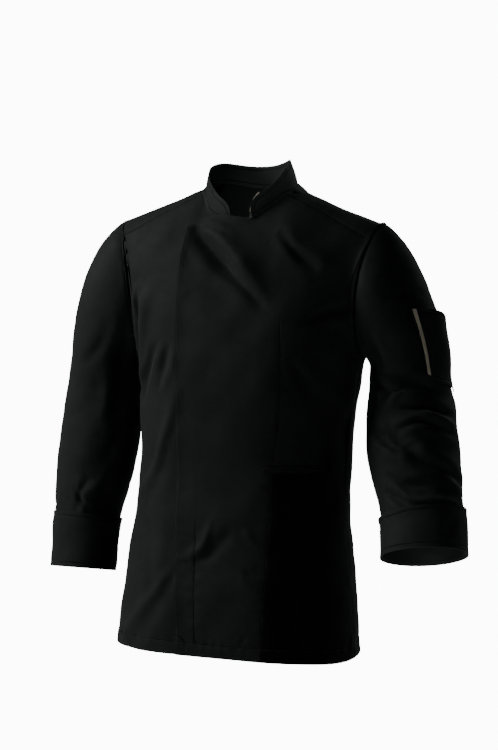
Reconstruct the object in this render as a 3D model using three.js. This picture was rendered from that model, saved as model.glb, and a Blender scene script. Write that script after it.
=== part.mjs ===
import * as THREE from "three";

/*
A chef jacket with turned-back cuffs, hollow and filled out as it is worn. Millimetres, +Z up. The front
faces -Y and the wearer's left is +X. The origin lies in the neck opening, level with the nape, between the
points where the shoulders carry the jacket. Each piece of cloth is a closed wall with its own thickness,
and the pieces lie SEAM_GAP apart where they are sewn.
*/

// Cloth
const WALL = 1.6;
const COLLAR_WALL = 2.2;
const TRIM_WALL = 1.0;
const SEAM_GAP = 0.4;
const ARMHOLE_GAP = 0.5;
const NECK_GAP = 0.7;

// Length, and how far one front lies below the other where they lap
const JACKET_LENGTH = 730;
const CHEST_LEVEL = -292;
const HEM_DROP_LEFT = 8;
const HEM_RISE_FRONT = 5;
const LAP_DEPTH = 4.8;

// The lap: where its dip begins and ends beside the closing edge (degrees) and below its top edge (mm), and
// the x beyond which each front has a top edge of its own in place of the neck seam
const LAP_DIP = { outer: 9, inner: 2, topEnd: 4, topStart: 22 };
const LAP_TOP_FROM = 23;
const HIDDEN_TOP_FROM = -11;

// Neck opening, an oval that slopes down to the front
const NECK = { halfWidth: 74, halfDepth: 70, centreY: -8, meanZ: -25, slopeZ: 25, sideRiseZ: 32 };
const SHOULDER_SEAM_AT_NECK = 102;

// Armhole, an upright oval pulled in at its foot
const ARMHOLE = {
  centreY: -2, centreZ: -153, halfHeight: 103, halfDepth: 63, footX: 189, topReach: 30, frontScoop: 4,
};
const SHOULDER_SEAM_AT_ARMHOLE = 18;

// Where the seams' lines stand round the torso, in degrees from the centre front or the centre back
const SIDE_ANGLE = 90;
const TIP_ANGLE = 56;
const NECK_ANGLE = 30;
const COLLAR_END_ANGLE = 7.3;
const BACK_SEAM_ANGLE = 15;

// Rows of the grids, from the hem to the chest and on to the top edge, and down a sleeve
const BODY_ROWS = 15;
const YOKE_ROWS = 9;
const TORSO_ROWS = BODY_ROWS + YOKE_ROWS;
const FRONT_LAP_COLUMNS = 5;
const SLEEVE_SIDES = 20;
const CAP_ROWS = 6;
const ARM_ROWS = 15;

// How round the cloth runs out of the chest, as a share of the way to the top edge, and the shoulder's sag
const CHEST_FULLNESS = { front: 1.0, back: 1.2 };
const SHOULDER_SAG = 1;

// How far from a side seam (degrees) and from the top edge (rows) the folds have died away
const FOLD_FADE = { side: 8, rows: 3 };

// Sleeves: stations down the arm, fullness of the cap, and the degrees that measure as much as one station
const ARM_STEPS = 6;
const CAP_FULLNESS = { left: 0.72, right: 0.95 };
const UPPER_ARM_FULLNESS = { left: 0.8, right: 0.95 };
const DEGREES_PER_STEP = 45;

// Turned-back cuffs: from these stations to the wrist and a little past it, standing off the sleeve
const CUFF_ROWS = 4;
const CUFF_FROM = { left: 4.75, right: 4.3 };
const CUFF_FOLD_FADE = 0.5;
const CUFF_STAND_TOP = 4.8;
const CUFF_STAND_END = 2.3;
const CUFF_PAST_END = 3;

// Collar: its grid, the radius of its front corners, how its columns gather at the ends, and the angles on
// the wearer's right between which it steps in behind the lap
const COLLAR_COLUMNS = 36;
const COLLAR_ROWS = 3;
const COLLAR_CORNER = 9;
const COLLAR_GATHER = 0.0275;
const COLLAR_STEP_IN = { from: 121, to: 145, drop: 0.4 };

// Trims
const PIPING = { columns: 8, width: 5, from: 150, to: 160.2, inset: 2.6, above: 2.2, fall: 0.62 };
const LABEL = { columns: 4, rows: 2, from: 12, to: 38, drop: 16, inset: 3.4, raise: 4 };
const PEN_POCKET = {
  front: 48, back: -24, top: -0.43, topDrop: 0.18, foot: 0.32, footDrop: 0.88,
  columns: 7, rows: 6, stand: 2.4, gape: 13,
};
const PEN_TAPE = { from: 0.06, to: 0.62, rows: 5, stand: 0.5 };
const WELT = { fromAngle: 18, toAngle: 62, z: -428, height: 9, columns: 7, stand: 1.0 };

const CLOTH_COLOUR = 0x16191a;
const INSIDE_COLOUR = 0x1b1e20;
const TAPE_COLOUR = 0xa59c84;
const LABEL_COLOUR = 0xc9c8c2;

const radians = THREE.MathUtils.degToRad;
const point = (x, y, z) => new THREE.Vector3(x, y, z);

// Turns rows of numbers into records with named columns.
function table(names, rows) {
  return rows.map((row) => Object.fromEntries(names.map((name, k) => [name, row[k]])));
}

// Smooth value of one column of a table at a place along another column.
function along(rows, key, at, name) {
  const rising = rows[rows.length - 1][key] > rows[0][key];
  let k = rows.findIndex((row) => (rising ? row[key] >= at : row[key] <= at));
  if (k === -1) return rows[rows.length - 1][name];
  if (k === 0) return rows[0][name];
  const [a, b] = [rows[k - 1], rows[k]];
  const before = rows[k - 2] ?? a;
  const after = rows[k + 1] ?? b;
  const span = b[key] - a[key];
  const slopeIn = ((b[name] - before[name]) / (b[key] - before[key])) * span;
  const slopeOut = ((after[name] - a[name]) / (after[key] - a[key])) * span;
  const t = (at - a[key]) / span;
  return a[name] * (2 * t ** 3 - 3 * t ** 2 + 1) + slopeIn * (t ** 3 - 2 * t ** 2 + t)
    + b[name] * (3 * t ** 2 - 2 * t ** 3) + slopeOut * (t ** 3 - t ** 2);
}

// Sections of the torso. Each is a rounded oval about its own centre.
const TORSO = table(["z", "halfWidth", "front", "back", "centreX", "centreY", "squareness"], [
  [-760, 201, 138, 134, -19, -20, 2.45],
  [-640, 190, 133, 128, -17, -15, 2.4],
  [-540, 178, 126, 118, -15, -7, 2.35],
  [-450, 173, 121, 110, -12, -1, 2.3],
  [-370, 176, 123, 112, -9, 1, 2.3],
  [-292, 183, 125, 114, -5, 0, 2.35],
  [-200, 190, 122, 112, 0, 0, 2.4],
]);

// The largest folds of the fronts: a soft trough (negative depth) or ridge from one end to the other.
const FRONT_FOLDS = table(["x1", "z1", "x2", "z2", "width", "depth"], [
  [-60, -70, 4, -156, 19, -7],
  [-22, -56, 30, -140, 20, 5],
  [-84, -100, -30, -186, 22, 4],
  [-150, -262, -168, -330, 18, -6],
  [-122, -262, -142, -320, 18, -4],
  [-96, -336, -138, -480, 26, 5],
  [24, -76, 62, -132, 20, 4],
  [132, -176, 80, -222, 24, 6],
  [60, -258, 92, -352, 24, 4],
  [146, -300, 160, -420, 22, -5],
  [0, -560, -60, -606, 22, -6],
  [-6, -516, -52, -576, 20, 4],
  [-60, -610, -118, -706, 28, 5],
  [110, -560, 124, -730, 32, -6],
]);

const BACK_FOLDS = table(["x1", "z1", "x2", "z2", "width", "depth"], [
  [146, -240, 116, -330, 24, -6],
  [-146, -236, -120, -322, 24, -6],
  [-96, -420, 70, -448, 26, -6],
  [92, -470, -30, -492, 24, -4],
  [-104, -560, -112, -730, 32, -6],
  [62, -580, 74, -730, 34, -6],
]);

// Height of a fold at a point of its own flat map: full in the middle, fading to its ends.
function foldHeight(u, v, fold, names) {
  const [u1, v1, u2, v2] = names.map((name) => fold[name]);
  const length2 = (u2 - u1) ** 2 + (v2 - v1) ** 2;
  const t = THREE.MathUtils.clamp(((u - u1) * (u2 - u1) + (v - v1) * (v2 - v1)) / length2, 0, 1);
  const away = Math.hypot(u - u1 - t * (u2 - u1), v - v1 - t * (v2 - v1));
  return fold.depth * Math.exp(-((away / fold.width) ** 2)) * (0.45 + 0.55 * Math.sin(Math.PI * t));
}

const MAP_NAMES = ["x1", "z1", "x2", "z2"];

// A point of the torso below the chest line. The angle runs from the centre front (0) over the wearer's
// left side (90) to the back (180), and the other way to the right side (-90, 270 on the back).
function torsoPoint(angle, z) {
  const value = (name) => along(TORSO, "z", z, name);
  const [s, c] = [Math.sin(radians(angle)), Math.cos(radians(angle))];
  const n = value("squareness");
  const reach = (Math.abs(s) ** n + Math.abs(c) ** n) ** (-1 / n);
  const depth = c > 0 ? value("front") : value("back");
  return point(
    value("centreX") + value("halfWidth") * s * reach,
    value("centreY") - depth * c * reach,
    z,
  );
}

function hemLevel(angle) {
  const left = Math.max(0, Math.sin(radians(angle)));
  const front = Math.max(0, Math.cos(radians(angle)));
  return -JACKET_LENGTH - HEM_DROP_LEFT * left ** 2 + HEM_RISE_FRONT * front ** 2;
}

// The neck seam, at an angle from the centre back. Positive angles are on the wearer's left.
function neckPoint(angle) {
  const [s, c] = [Math.sin(radians(angle)), Math.cos(radians(angle))];
  return point(
    NECK.halfWidth * s,
    NECK.centreY + NECK.halfDepth * c,
    NECK.meanZ + NECK.slopeZ * c + NECK.sideRiseZ * s * s,
  );
}

// The armhole seam, at an angle from its top. Positive angles are on the front.
function armholePoint(side, angle) {
  const [s, c] = [Math.sin(radians(angle)), Math.cos(radians(angle))];
  const reach = ARMHOLE.topReach * ((1 + c) / 2) ** 2 - ARMHOLE.frontScoop * Math.max(0, s);
  return point(
    side * (ARMHOLE.footX + reach),
    ARMHOLE.centreY - ARMHOLE.halfDepth * s,
    ARMHOLE.centreZ + ARMHOLE.halfHeight * c,
  );
}

// The way out of the cloth at the armhole seam, which the body and the sleeve share.
function armholeNormal(side, angle) {
  const [s, c] = [Math.sin(radians(angle)), Math.cos(radians(angle))];
  return point(side * 0.35 * (1 + c) / 2, -s, c).normalize();
}

// The shoulder seam, from the armhole to the neck.
function shoulderPoint(side, t) {
  const tip = armholePoint(side, SHOULDER_SEAM_AT_ARMHOLE);
  const neck = neckPoint(side * SHOULDER_SEAM_AT_NECK);
  return tip.lerp(neck, t).add(point(0, 0, -SHOULDER_SAG * Math.sin(Math.PI * t)));
}

// The way in which the cloth runs up into its top edge, at angles from the centre front or centre back, and
// how round it does so, as a share of the way up from the chest.
const FRONT_RUN = table(["angle", "outX", "backY", "upZ", "fullness"], [
  [90, 0.3, 0, 1, 0.8],
  [74, 0.2, 0.15, 0.97, 0.8],
  [64, 0.42, 0.45, 0.78, 0.8],
  [56, 0.38, 0.84, 0.4, 0.8],
  [30, -0.1, 0.9, 0.42, 0.8],
  [20, -0.05, 0.6, 0.8, 0.8],
  [9, 0, 0.45, 0.89, 0.8],
  [0, 0, 0.4, 0.92, 0.8],
]);
const BACK_RUN = table(["angle", "outX", "backY", "upZ", "fullness"], [
  [90, 0.15, 0, 1, 0.8],
  [80, 0.2, 0.1, 0.98, 0.7],
  [72, 0.35, -0.3, 0.95, 0.7],
  [64, 0.35, -0.75, 0.6, 1.0],
  [56, 0.2, -0.9, -0.38, 1.15],
  [43, 0, -0.9, -0.4, 0.75],
  [30, -0.3, -0.88, -0.3, 0.85],
  [24, -0.3, -0.88, 0.12, 0.7],
  [16, -0.25, -0.8, 0.5, 0.65],
  [8, -0.12, -0.7, 0.68, 0.7],
  [0, 0, -0.55, 0.83, 0.75],
]);

// Splits an angle round the torso into its side, the half it lies on, and the angle from that half's middle.
function placeOf(angle) {
  const back = Math.abs(angle) > SIDE_ANGLE;
  if (back) return { back, side: angle > 180 ? -1 : 1, turn: Math.abs(180 - angle) };
  return { back, side: angle < 0 ? -1 : 1, turn: Math.abs(angle) };
}

// The angle round the armhole seam that a column of the torso ends at.
function armholeAngle({ back, turn }) {
  const t = (SIDE_ANGLE - turn) / (SIDE_ANGLE - TIP_ANGLE);
  return THREE.MathUtils.lerp(back ? -180 : 180, SHOULDER_SEAM_AT_ARMHOLE, t);
}

function topEdgePoint(place) {
  const { back, side, turn } = place;
  if (turn >= TIP_ANGLE) return armholePoint(side, armholeAngle(place));
  if (turn >= NECK_ANGLE) return shoulderPoint(side, (TIP_ANGLE - turn) / (TIP_ANGLE - NECK_ANGLE));
  const t = (NECK_ANGLE - turn) / NECK_ANGLE;
  return neckPoint(side * THREE.MathUtils.lerp(SHOULDER_SEAM_AT_NECK, back ? 0 : 180, t));
}

// The torso as one surface. A column runs from the hem (row 0) through the chest to its top edge.
function torsoSurface(angle, row) {
  if (row <= BODY_ROWS) {
    return torsoPoint(angle, THREE.MathUtils.lerp(hemLevel(angle), CHEST_LEVEL, row / BODY_ROWS));
  }
  const place = placeOf(angle);
  const start = torsoPoint(angle, CHEST_LEVEL);
  const climb = start.clone().sub(torsoPoint(angle, CHEST_LEVEL - 10)).normalize();
  const end = topEdgePoint(place);
  const height = start.distanceTo(end);
  const run = (name) => along(place.back ? BACK_RUN : FRONT_RUN, "angle", place.turn, name);
  const arrive = point(place.side * run("outX"), run("backY"), run("upZ")).normalize();
  const fullness = place.back ? CHEST_FULLNESS.back : CHEST_FULLNESS.front;
  const v = (row - BODY_ROWS) / YOKE_ROWS;
  if (v > 1) return end.add(point(0, 0, height * (v - 1)));
  return start.multiplyScalar(2 * v ** 3 - 3 * v ** 2 + 1)
    .addScaledVector(climb, height * fullness * (v ** 3 - 2 * v ** 2 + v))
    .addScaledVector(end, 3 * v ** 2 - 2 * v ** 3)
    .addScaledVector(arrive, height * run("fullness") * (v ** 3 - v ** 2));
}

// The way out of the torso. At the armhole seam it is the one that the sleeve shares.
function torsoNormal(angle, row) {
  const place = placeOf(angle);
  if (row === TORSO_ROWS && place.turn >= TIP_ANGLE) return armholeNormal(place.side, armholeAngle(place));
  const turn = 0.05;
  const climb = 0.02;
  const low = place.back ? SIDE_ANGLE + 0.01 : -SIDE_ANGLE;
  const high = place.back ? 270 : SIDE_ANGLE;
  const across = torsoSurface(Math.min(high, angle + turn), row)
    .sub(torsoSurface(Math.max(low, angle - turn), row));
  const up = torsoSurface(angle, Math.min(TORSO_ROWS, row + climb))
    .sub(torsoSurface(angle, Math.max(0, Math.min(TORSO_ROWS, row) - climb)));
  return across.cross(up).normalize();
}

// A point of the torso's cloth with its folds, lifted off the surface by some height.
function torsoSkin(angle, row, lift) {
  const { back, turn } = placeOf(angle);
  const at = torsoSurface(angle, row);
  const folds = back ? BACK_FOLDS : FRONT_FOLDS;
  const height = folds.reduce((sum, fold) => sum + foldHeight(at.x, at.z, fold, MAP_NAMES), 0);
  const fade = THREE.MathUtils.clamp((SIDE_ANGLE - turn) / FOLD_FADE.side, 0, 1)
    * THREE.MathUtils.clamp((TORSO_ROWS - row) / FOLD_FADE.rows, 0, 1);
  return at.addScaledVector(torsoNormal(angle, row), height * fade + lift);
}

/*
A wall of cloth over a grid of outer points. inner(i, j) gives the matching points of its other side. A
round wall closes on itself across the grid, and any other wall is closed by a rim along its four edges.
*/
function clothWall(columns, rows, outer, inner, round = false, turned = false) {
  const positions = [];
  const across = round ? columns : columns + 1;
  const index = (layer, i, j) => layer * across * (rows + 1) + (i % across) * (rows + 1) + j;
  for (const surface of [outer, inner]) {
    for (let i = 0; i < across; i += 1) {
      for (let j = 0; j <= rows; j += 1) positions.push(...surface(i, j).toArray());
    }
  }
  const faces = [];
  const quad = (a, b, c, d) => {
    const corners = turned ? [d, c, b, a] : [a, b, c, d];
    faces.push(corners[0], corners[1], corners[2], corners[0], corners[2], corners[3]);
  };
  for (let i = 0; i < columns; i += 1) {
    for (let j = 0; j < rows; j += 1) {
      quad(index(0, i, j), index(0, i + 1, j), index(0, i + 1, j + 1), index(0, i, j + 1));
      quad(index(1, i, j), index(1, i, j + 1), index(1, i + 1, j + 1), index(1, i + 1, j));
    }
    quad(index(1, i, 0), index(1, i + 1, 0), index(0, i + 1, 0), index(0, i, 0));
    quad(index(0, i, rows), index(0, i + 1, rows), index(1, i + 1, rows), index(1, i, rows));
  }
  if (!round) {
    for (let j = 0; j < rows; j += 1) {
      quad(index(0, 0, j), index(0, 0, j + 1), index(1, 0, j + 1), index(1, 0, j));
      quad(index(1, columns, j), index(1, columns, j + 1), index(0, columns, j + 1), index(0, columns, j));
    }
  }
  const geometry = new THREE.BufferGeometry();
  geometry.setAttribute("position", new THREE.Float32BufferAttribute(positions, 3));
  geometry.setIndex(faces);
  geometry.computeVertexNormals();
  return geometry;
}

function piece(name, geometry, color, roughness = 0.82) {
  const material = new THREE.MeshStandardMaterial({ color, roughness, side: THREE.DoubleSide });
  const mesh = new THREE.Mesh(geometry, material);
  mesh.name = name;
  return mesh;
}

// The closing edge of the left front and the hidden edge of the right one, as angles round the torso.
// Level 0 is the hem, 1 the chest and 2 the top edge.
const CLOSING_EDGE = table(["level", "angle"], [[0, -15], [0.5, -22.5], [1, -25.5], [1.5, -28], [2, -31]]);
const HIDDEN_EDGE = table(["level", "angle"], [[0, 24], [0.5, 28], [1, 28], [1.5, 29], [2, 31]]);

// The top edges of the fronts beyond their collar ends.
const LAP_TOP = table(["x", "z"], [
  [-90, -60],
  [-84, -57],
  [-56, -43],
  [-20, -38],
  [0, -42],
  [14, -47.5],
  [24, -50],
]);
const HIDDEN_TOP = table(["x", "z"], [[-11, -50], [20, -53], [56, -57], [90, -64]]);

// The row at which a column of the torso meets a top edge that is drawn as a height over x.
function rowAtEdge(angle, edge) {
  let [low, high] = [BODY_ROWS, TORSO_ROWS + 2];
  for (let k = 0; k < 24; k += 1) {
    const middle = (low + high) / 2;
    const at = torsoSurface(angle, middle);
    if (at.z < along(edge, "x", at.x, "z")) low = middle;
    else high = middle;
  }
  return low;
}

function levelOf(row) {
  return row <= BODY_ROWS ? row / BODY_ROWS : 1 + (row - BODY_ROWS) / YOKE_ROWS;
}

function rowBelowTop(j, topRow) {
  if (j <= BODY_ROWS) return j;
  return BODY_ROWS + ((j - BODY_ROWS) / YOKE_ROWS) * (topRow - BODY_ROWS);
}

// Angles of a panel's columns, from stops that each say how many columns lead up to them.
function columnAngles(first, stops) {
  const angles = [first];
  for (const { to, columns } of stops) {
    const from = angles[angles.length - 1];
    for (let k = 1; k <= columns; k += 1) angles.push(THREE.MathUtils.lerp(from, to, k / columns));
  }
  return angles;
}

// The half gap that each sewn edge of a panel keeps, as a small move away from its neighbour.
function seamMove(angle, row) {
  const { back, side, turn } = placeOf(angle);
  const half = SEAM_GAP / 2;
  const move = point(0, 0, 0);
  if (turn > SIDE_ANGLE - 0.1) move.y = back ? half : -half;
  if (row < TORSO_ROWS) return move;
  if (turn >= TIP_ANGLE) move.x = -side * ARMHOLE_GAP;
  if (turn <= TIP_ANGLE && turn >= NECK_ANGLE) move.y = back ? half : -half;
  if (turn <= NECK_ANGLE) move.z = -half;
  return move;
}

/*
One front. side is +1 for the wearer's left. Its last columns lap past the middle, as far as its own edge,
and inset(angle, row, at) says how far the cloth lies below the torso's surface.
*/
function front({ side, edge, top, topFrom, inset }) {
  const stops = [[TIP_ANGLE, 9], [NECK_ANGLE, 3], [COLLAR_END_ANGLE, 3]];
  const fixed = columnAngles(side * SIDE_ANGLE, stops.map(([to, columns]) => ({ to: side * to, columns })));
  const columns = fixed.length - 1 + FRONT_LAP_COLUMNS;
  const angleAt = (i, row) => {
    if (i < fixed.length) return fixed[i];
    const t = (i - fixed.length + 1) / FRONT_LAP_COLUMNS;
    return THREE.MathUtils.lerp(side * COLLAR_END_ANGLE, along(edge, "level", levelOf(row), "angle"), t);
  };
  const topRowAt = (i) => {
    const angle = angleAt(i, TORSO_ROWS);
    const lapped = side * (torsoSurface(angle, TORSO_ROWS).x - topFrom) < 0;
    return lapped ? rowAtEdge(angle, top) : TORSO_ROWS;
  };
  const topRows = Array.from({ length: columns + 1 }, (_, i) => topRowAt(i));
  const at = (i, j, lift) => {
    const row = rowBelowTop(j, topRows[i]);
    const angle = angleAt(i, row);
    const depth = inset(angle, row, torsoSurface(angle, row));
    const sewn = topRows[i] === TORSO_ROWS ? row : Math.min(row, BODY_ROWS);
    return torsoSkin(angle, row, lift - depth).add(seamMove(angle, sewn));
  };
  const outer = (i, j) => at(i, j, 0);
  const inner = (i, j) => at(i, j, -WALL);
  return clothWall(columns, TORSO_ROWS, outer, inner, false, side > 0);
}

// The right front dips under the left one from just outside the closing edge, and below its top edge.
function lapInset(angle, row, at) {
  const edge = along(CLOSING_EDGE, "level", levelOf(row), "angle");
  const beside = THREE.MathUtils.smoothstep(angle, edge - LAP_DIP.outer, edge - LAP_DIP.inner);
  const topLevel = along(LAP_TOP, "x", at.x, "z");
  const above = THREE.MathUtils.smoothstep(at.z, topLevel + LAP_DIP.topEnd, topLevel + LAP_DIP.topStart);
  return LAP_DEPTH * beside * (1 - above);
}

// A back panel between two angles, with the half gap of its inner seams.
function backPanel(stops, first, leftSeam, rightSeam) {
  const angles = columnAngles(first, stops.map(([to, columns]) => ({ to, columns })));
  const last = angles.length - 1;
  const half = SEAM_GAP / 2;
  const at = (i, j, lift) => {
    const spot = torsoSkin(angles[i], j, lift).add(seamMove(angles[i], j));
    if (i === 0 && leftSeam) spot.x -= half;
    if (i === last && rightSeam) spot.x += half;
    return spot;
  };
  return clothWall(last, TORSO_ROWS, (i, j) => at(i, j, 0), (i, j) => at(i, j, -WALL));
}

// Centre line and size of each arm of the jacket, at stations below the armhole.
const LEFT_ARM = table(["step", "x", "y", "z", "halfWidth", "halfDepth"], [
  [0, 256, 12, -272, 60, 64],
  [1, 257.5, 13, -312, 66, 64],
  [2, 262, 8, -352, 71, 66],
  [3, 272, -10, -408, 75, 66],
  [4, 288, -34, -464, 68, 58],
  [5, 300, -53, -509, 65.5, 56.5],
  [6, 308, -73, -555, 67.5, 58.5],
]);

const RIGHT_ARM = table(["step", "x", "y", "z", "halfWidth", "halfDepth"], [
  [0, 258, 8, -272, 61, 63],
  [1, 263, 8, -330, 65, 62],
  [2, 270, 2, -400, 69, 60],
  [3, 276, -8, -460, 66, 58],
  [4, 281.5, -19, -520, 55.5, 53],
  [5, 283, -30, -570, 52, 51.5],
  [6, 283, -41, -620, 53, 52.5],
]);

// Folds of the sleeves, on a map of steps down the arm and degrees round it (0 outside, 90 front).
const LEFT_ARM_FOLDS = table(["s1", "a1", "s2", "a2", "width", "depth"], [
  [0.5, 118, 1.3, 18, 0.22, -7],
  [1.0, 122, 1.5, 62, 0.2, 5],
  [1.7, 116, 2.3, 28, 0.2, -8],
  [2.2, 100, 2.5, 20, 0.18, 6],
  [2.6, 96, 3.4, 4, 0.2, -7],
  [3.2, 84, 3.7, 10, 0.16, 5],
  [3.9, 104, 4.3, 22, 0.18, -6],
  [4.35, 100, 4.5, 10, 0.16, 4],
  [0.9, 250, 1.7, 300, 0.24, -5],
  [2.3, 236, 2.9, 316, 0.24, 4],
]);

const RIGHT_ARM_FOLDS = table(["s1", "a1", "s2", "a2", "width", "depth"], [
  [0.6, 120, 1.6, 76, 0.26, -5],
  [2.4, 150, 3.3, 96, 0.26, -5],
  [3.4, 120, 4.0, 46, 0.2, 4],
  [3.8, 40, 4.2, 100, 0.14, -3],
  [0.8, 262, 1.8, 300, 0.26, -4],
  [2.0, 300, 2.8, 238, 0.26, 4],
]);

function armFoldHeight(step, angle, folds) {
  return folds.reduce((sum, fold) => {
    const turn = THREE.MathUtils.euclideanModulo(angle, 360) / DEGREES_PER_STEP;
    const map = { depth: fold.depth, width: fold.width };
    map.u1 = fold.s1;
    map.v1 = fold.a1 / DEGREES_PER_STEP;
    map.u2 = fold.s2;
    map.v2 = fold.a2 / DEGREES_PER_STEP;
    return sum + foldHeight(step, turn, map, ["u1", "v1", "u2", "v2"]);
  }, 0);
}

function armCentre(side, arm, step) {
  const value = (name) => along(arm, "step", step, name);
  return point(side * value("x"), value("y"), value("z"));
}

// A ring of the sleeve below the armhole. 0 degrees is the outside of the arm and 90 the front.
function armRing(side, arm, step, angle) {
  const centre = armCentre(side, arm, step);
  const run = armCentre(side, arm, Math.min(ARM_STEPS, step + 0.1))
    .sub(armCentre(side, arm, Math.max(0, step - 0.1))).normalize();
  const outward = point(side, 0, 0).addScaledVector(run, -side * run.x).normalize();
  const forward = point(0, -1, 0);
  forward.addScaledVector(run, -forward.dot(run));
  forward.addScaledVector(outward, -forward.dot(outward)).normalize();
  return centre
    .addScaledVector(outward, along(arm, "step", step, "halfWidth") * Math.cos(radians(angle)))
    .addScaledVector(forward, along(arm, "step", step, "halfDepth") * Math.sin(radians(angle)));
}

// The sleeve as one surface. Level -1 is the armhole seam, 0 the foot of the cap and ARM_STEPS the wrist.
function sleevePoint(side, arm, angle, level) {
  if (level >= 0) return armRing(side, arm, level, angle);
  const start = armholePoint(side, angle).add(point(side * SEAM_GAP / 2, 0, 0));
  const end = armRing(side, arm, 0, angle);
  const [s, c] = [Math.sin(radians(angle)), Math.cos(radians(angle))];
  const leave = point(side * (0.75 + 0.15 * c), -0.4 * s, -0.52 + 0.1 * c).normalize();
  const arrive = armCentre(side, arm, 0.3).sub(armCentre(side, arm, 0)).normalize();
  const length = start.distanceTo(end);
  const suffix = side > 0 ? "left" : "right";
  const v = level + 1;
  return start.multiplyScalar(2 * v ** 3 - 3 * v ** 2 + 1)
    .addScaledVector(leave, length * CAP_FULLNESS[suffix] * (v ** 3 - 2 * v ** 2 + v))
    .addScaledVector(end, 3 * v ** 2 - 2 * v ** 3)
    .addScaledVector(arrive, length * UPPER_ARM_FULLNESS[suffix] * (v ** 3 - v ** 2));
}

// Where a row of the sleeve's grid lies between the armhole and the wrist.
function sleeveLevel(row) {
  return row <= CAP_ROWS ? row / CAP_ROWS - 1 : ((row - CAP_ROWS) / ARM_ROWS) * ARM_STEPS;
}

// The sleeve's cloth with its folds, for the sleeve itself and for anything that lies on it.
function sleeveSkin({ side, arm, folds, cuffFrom }) {
  const normal = (angle, level) => {
    if (level === -1) return armholeNormal(side, angle);
    const turn = 0.5;
    const climb = 0.02;
    const across = sleevePoint(side, arm, angle + turn, level)
      .sub(sleevePoint(side, arm, angle - turn, level));
    const down = sleevePoint(side, arm, angle, Math.min(ARM_STEPS, level + climb))
      .sub(sleevePoint(side, arm, angle, Math.max(-1, level - climb)));
    return across.cross(down).multiplyScalar(side).normalize();
  };
  const fade = (level) => THREE.MathUtils.clamp((level + 1) * 1.6, 0, 1)
    * THREE.MathUtils.clamp((cuffFrom - level) / CUFF_FOLD_FADE, 0, 1);
  return (angle, level, lift) => {
    const height = armFoldHeight(level, angle, folds) * fade(level);
    return sleevePoint(side, arm, angle, level).addScaledVector(normal(angle, level), height + lift);
  };
}

const sleeveAngle = (i) => (i * 360) / SLEEVE_SIDES;

function sleeve(side, skin) {
  return clothWall(
    SLEEVE_SIDES, CAP_ROWS + ARM_ROWS,
    (i, j) => skin(sleeveAngle(i), sleeveLevel(j), 0),
    (i, j) => skin(sleeveAngle(i), sleeveLevel(j), -WALL),
    true, side < 0,
  );
}

// The turned-back cuff: a band round the end of the sleeve, standing off it.
function cuff({ side, arm, cuffFrom }, skin) {
  const run = armCentre(side, arm, ARM_STEPS).sub(armCentre(side, arm, ARM_STEPS - 0.3)).normalize();
  const at = (i, j, lift) => {
    const t = j / CUFF_ROWS;
    const stand = THREE.MathUtils.lerp(CUFF_STAND_TOP, CUFF_STAND_END, t);
    const level = THREE.MathUtils.lerp(cuffFrom, ARM_STEPS, t);
    return skin(sleeveAngle(i), level, stand + lift).addScaledVector(run, CUFF_PAST_END * t);
  };
  const outer = (i, j) => at(i, j, 0);
  const inner = (i, j) => at(i, j, -WALL);
  return clothWall(SLEEVE_SIDES, CUFF_ROWS, outer, inner, true, side < 0);
}

// The stand collar: its height and lean, at angles from the centre back (positive on the wearer's left).
const COLLAR = table(["angle", "height", "lean", "bow"], [
  [-171, 26, 1, 0],
  [-160, 29, 2, 0.5],
  [-137, 29, 4, 1],
  [-110, 32, 6, 1],
  [-80, 27, 8, 1],
  [-40, 30, 6, 1],
  [0, 34, 5, 1],
  [55, 35, 9, 1],
  [80, 33, 13, 1],
  [110, 30, 11, 1],
  [135, 32, 4, 1],
  [152, 32, 2, 0.5],
  [161, 30, 1, 0],
]);

function collarSkin(angle, t, lift) {
  const base = neckPoint(angle).add(point(0, 0, NECK_GAP));
  const out = point(Math.sin(radians(angle)), Math.cos(radians(angle)), 0);
  const value = (name) => along(COLLAR, "angle", angle, name);
    const inset = LAP_DEPTH * THREE.MathUtils.smoothstep(-angle, COLLAR_STEP_IN.from, COLLAR_STEP_IN.to);
  return base.addScaledVector(out, lift - inset - value("lean") * t + value("bow") * Math.sin(Math.PI * t))
    .add(point(0, 0, value("height") * t - COLLAR_STEP_IN.drop * inset));
}

// Rounds the top corner of a collar end: the height that is left near the end.
function cornerShare(distance, height) {
  if (distance >= COLLAR_CORNER) return 1;
  const drop = COLLAR_CORNER - Math.sqrt(COLLAR_CORNER ** 2 - (COLLAR_CORNER - distance) ** 2);
  return 1 - drop / height;
}

function collar() {
  const first = COLLAR[0].angle;
  const last = COLLAR[COLLAR.length - 1].angle;
  const spread = (i) => {
    const t = i / COLLAR_COLUMNS;
    return THREE.MathUtils.lerp(first, last, t - COLLAR_GATHER * Math.sin(4 * Math.PI * t));
  };
  const at = (i, j, lift) => {
    const angle = spread(i);
    const ends = Math.min(neckPoint(angle).distanceTo(neckPoint(first)),
      neckPoint(angle).distanceTo(neckPoint(last)));
    const share = cornerShare(Math.max(ends, 0.2), along(COLLAR, "angle", angle, "height"));
    return collarSkin(angle, (j / COLLAR_ROWS) * share, lift);
  };
  return clothWall(
    COLLAR_COLUMNS, COLLAR_ROWS,
    (i, j) => at(i, j, 0),
    (i, j) => at(i, j, -COLLAR_WALL),
    false, true,
  );
}

// The pale piping inside the wearer's left collar end.
function collarPiping() {
  const at = (i, j, lift) => {
    const t = i / PIPING.columns;
    const angle = THREE.MathUtils.lerp(PIPING.from, PIPING.to, Math.sin((t * Math.PI) / 2));
    const top = collarSkin(angle, 1 - PIPING.fall * t ** 2, -PIPING.inset - lift);
    return top.add(point(-PIPING.above * t, 0, PIPING.above * (1 - t) - PIPING.width * (1 - j)));
  };
  return clothWall(PIPING.columns, 1, (i, j) => at(i, j, 0), (i, j) => at(i, j, TRIM_WALL), false, true);
}

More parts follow.
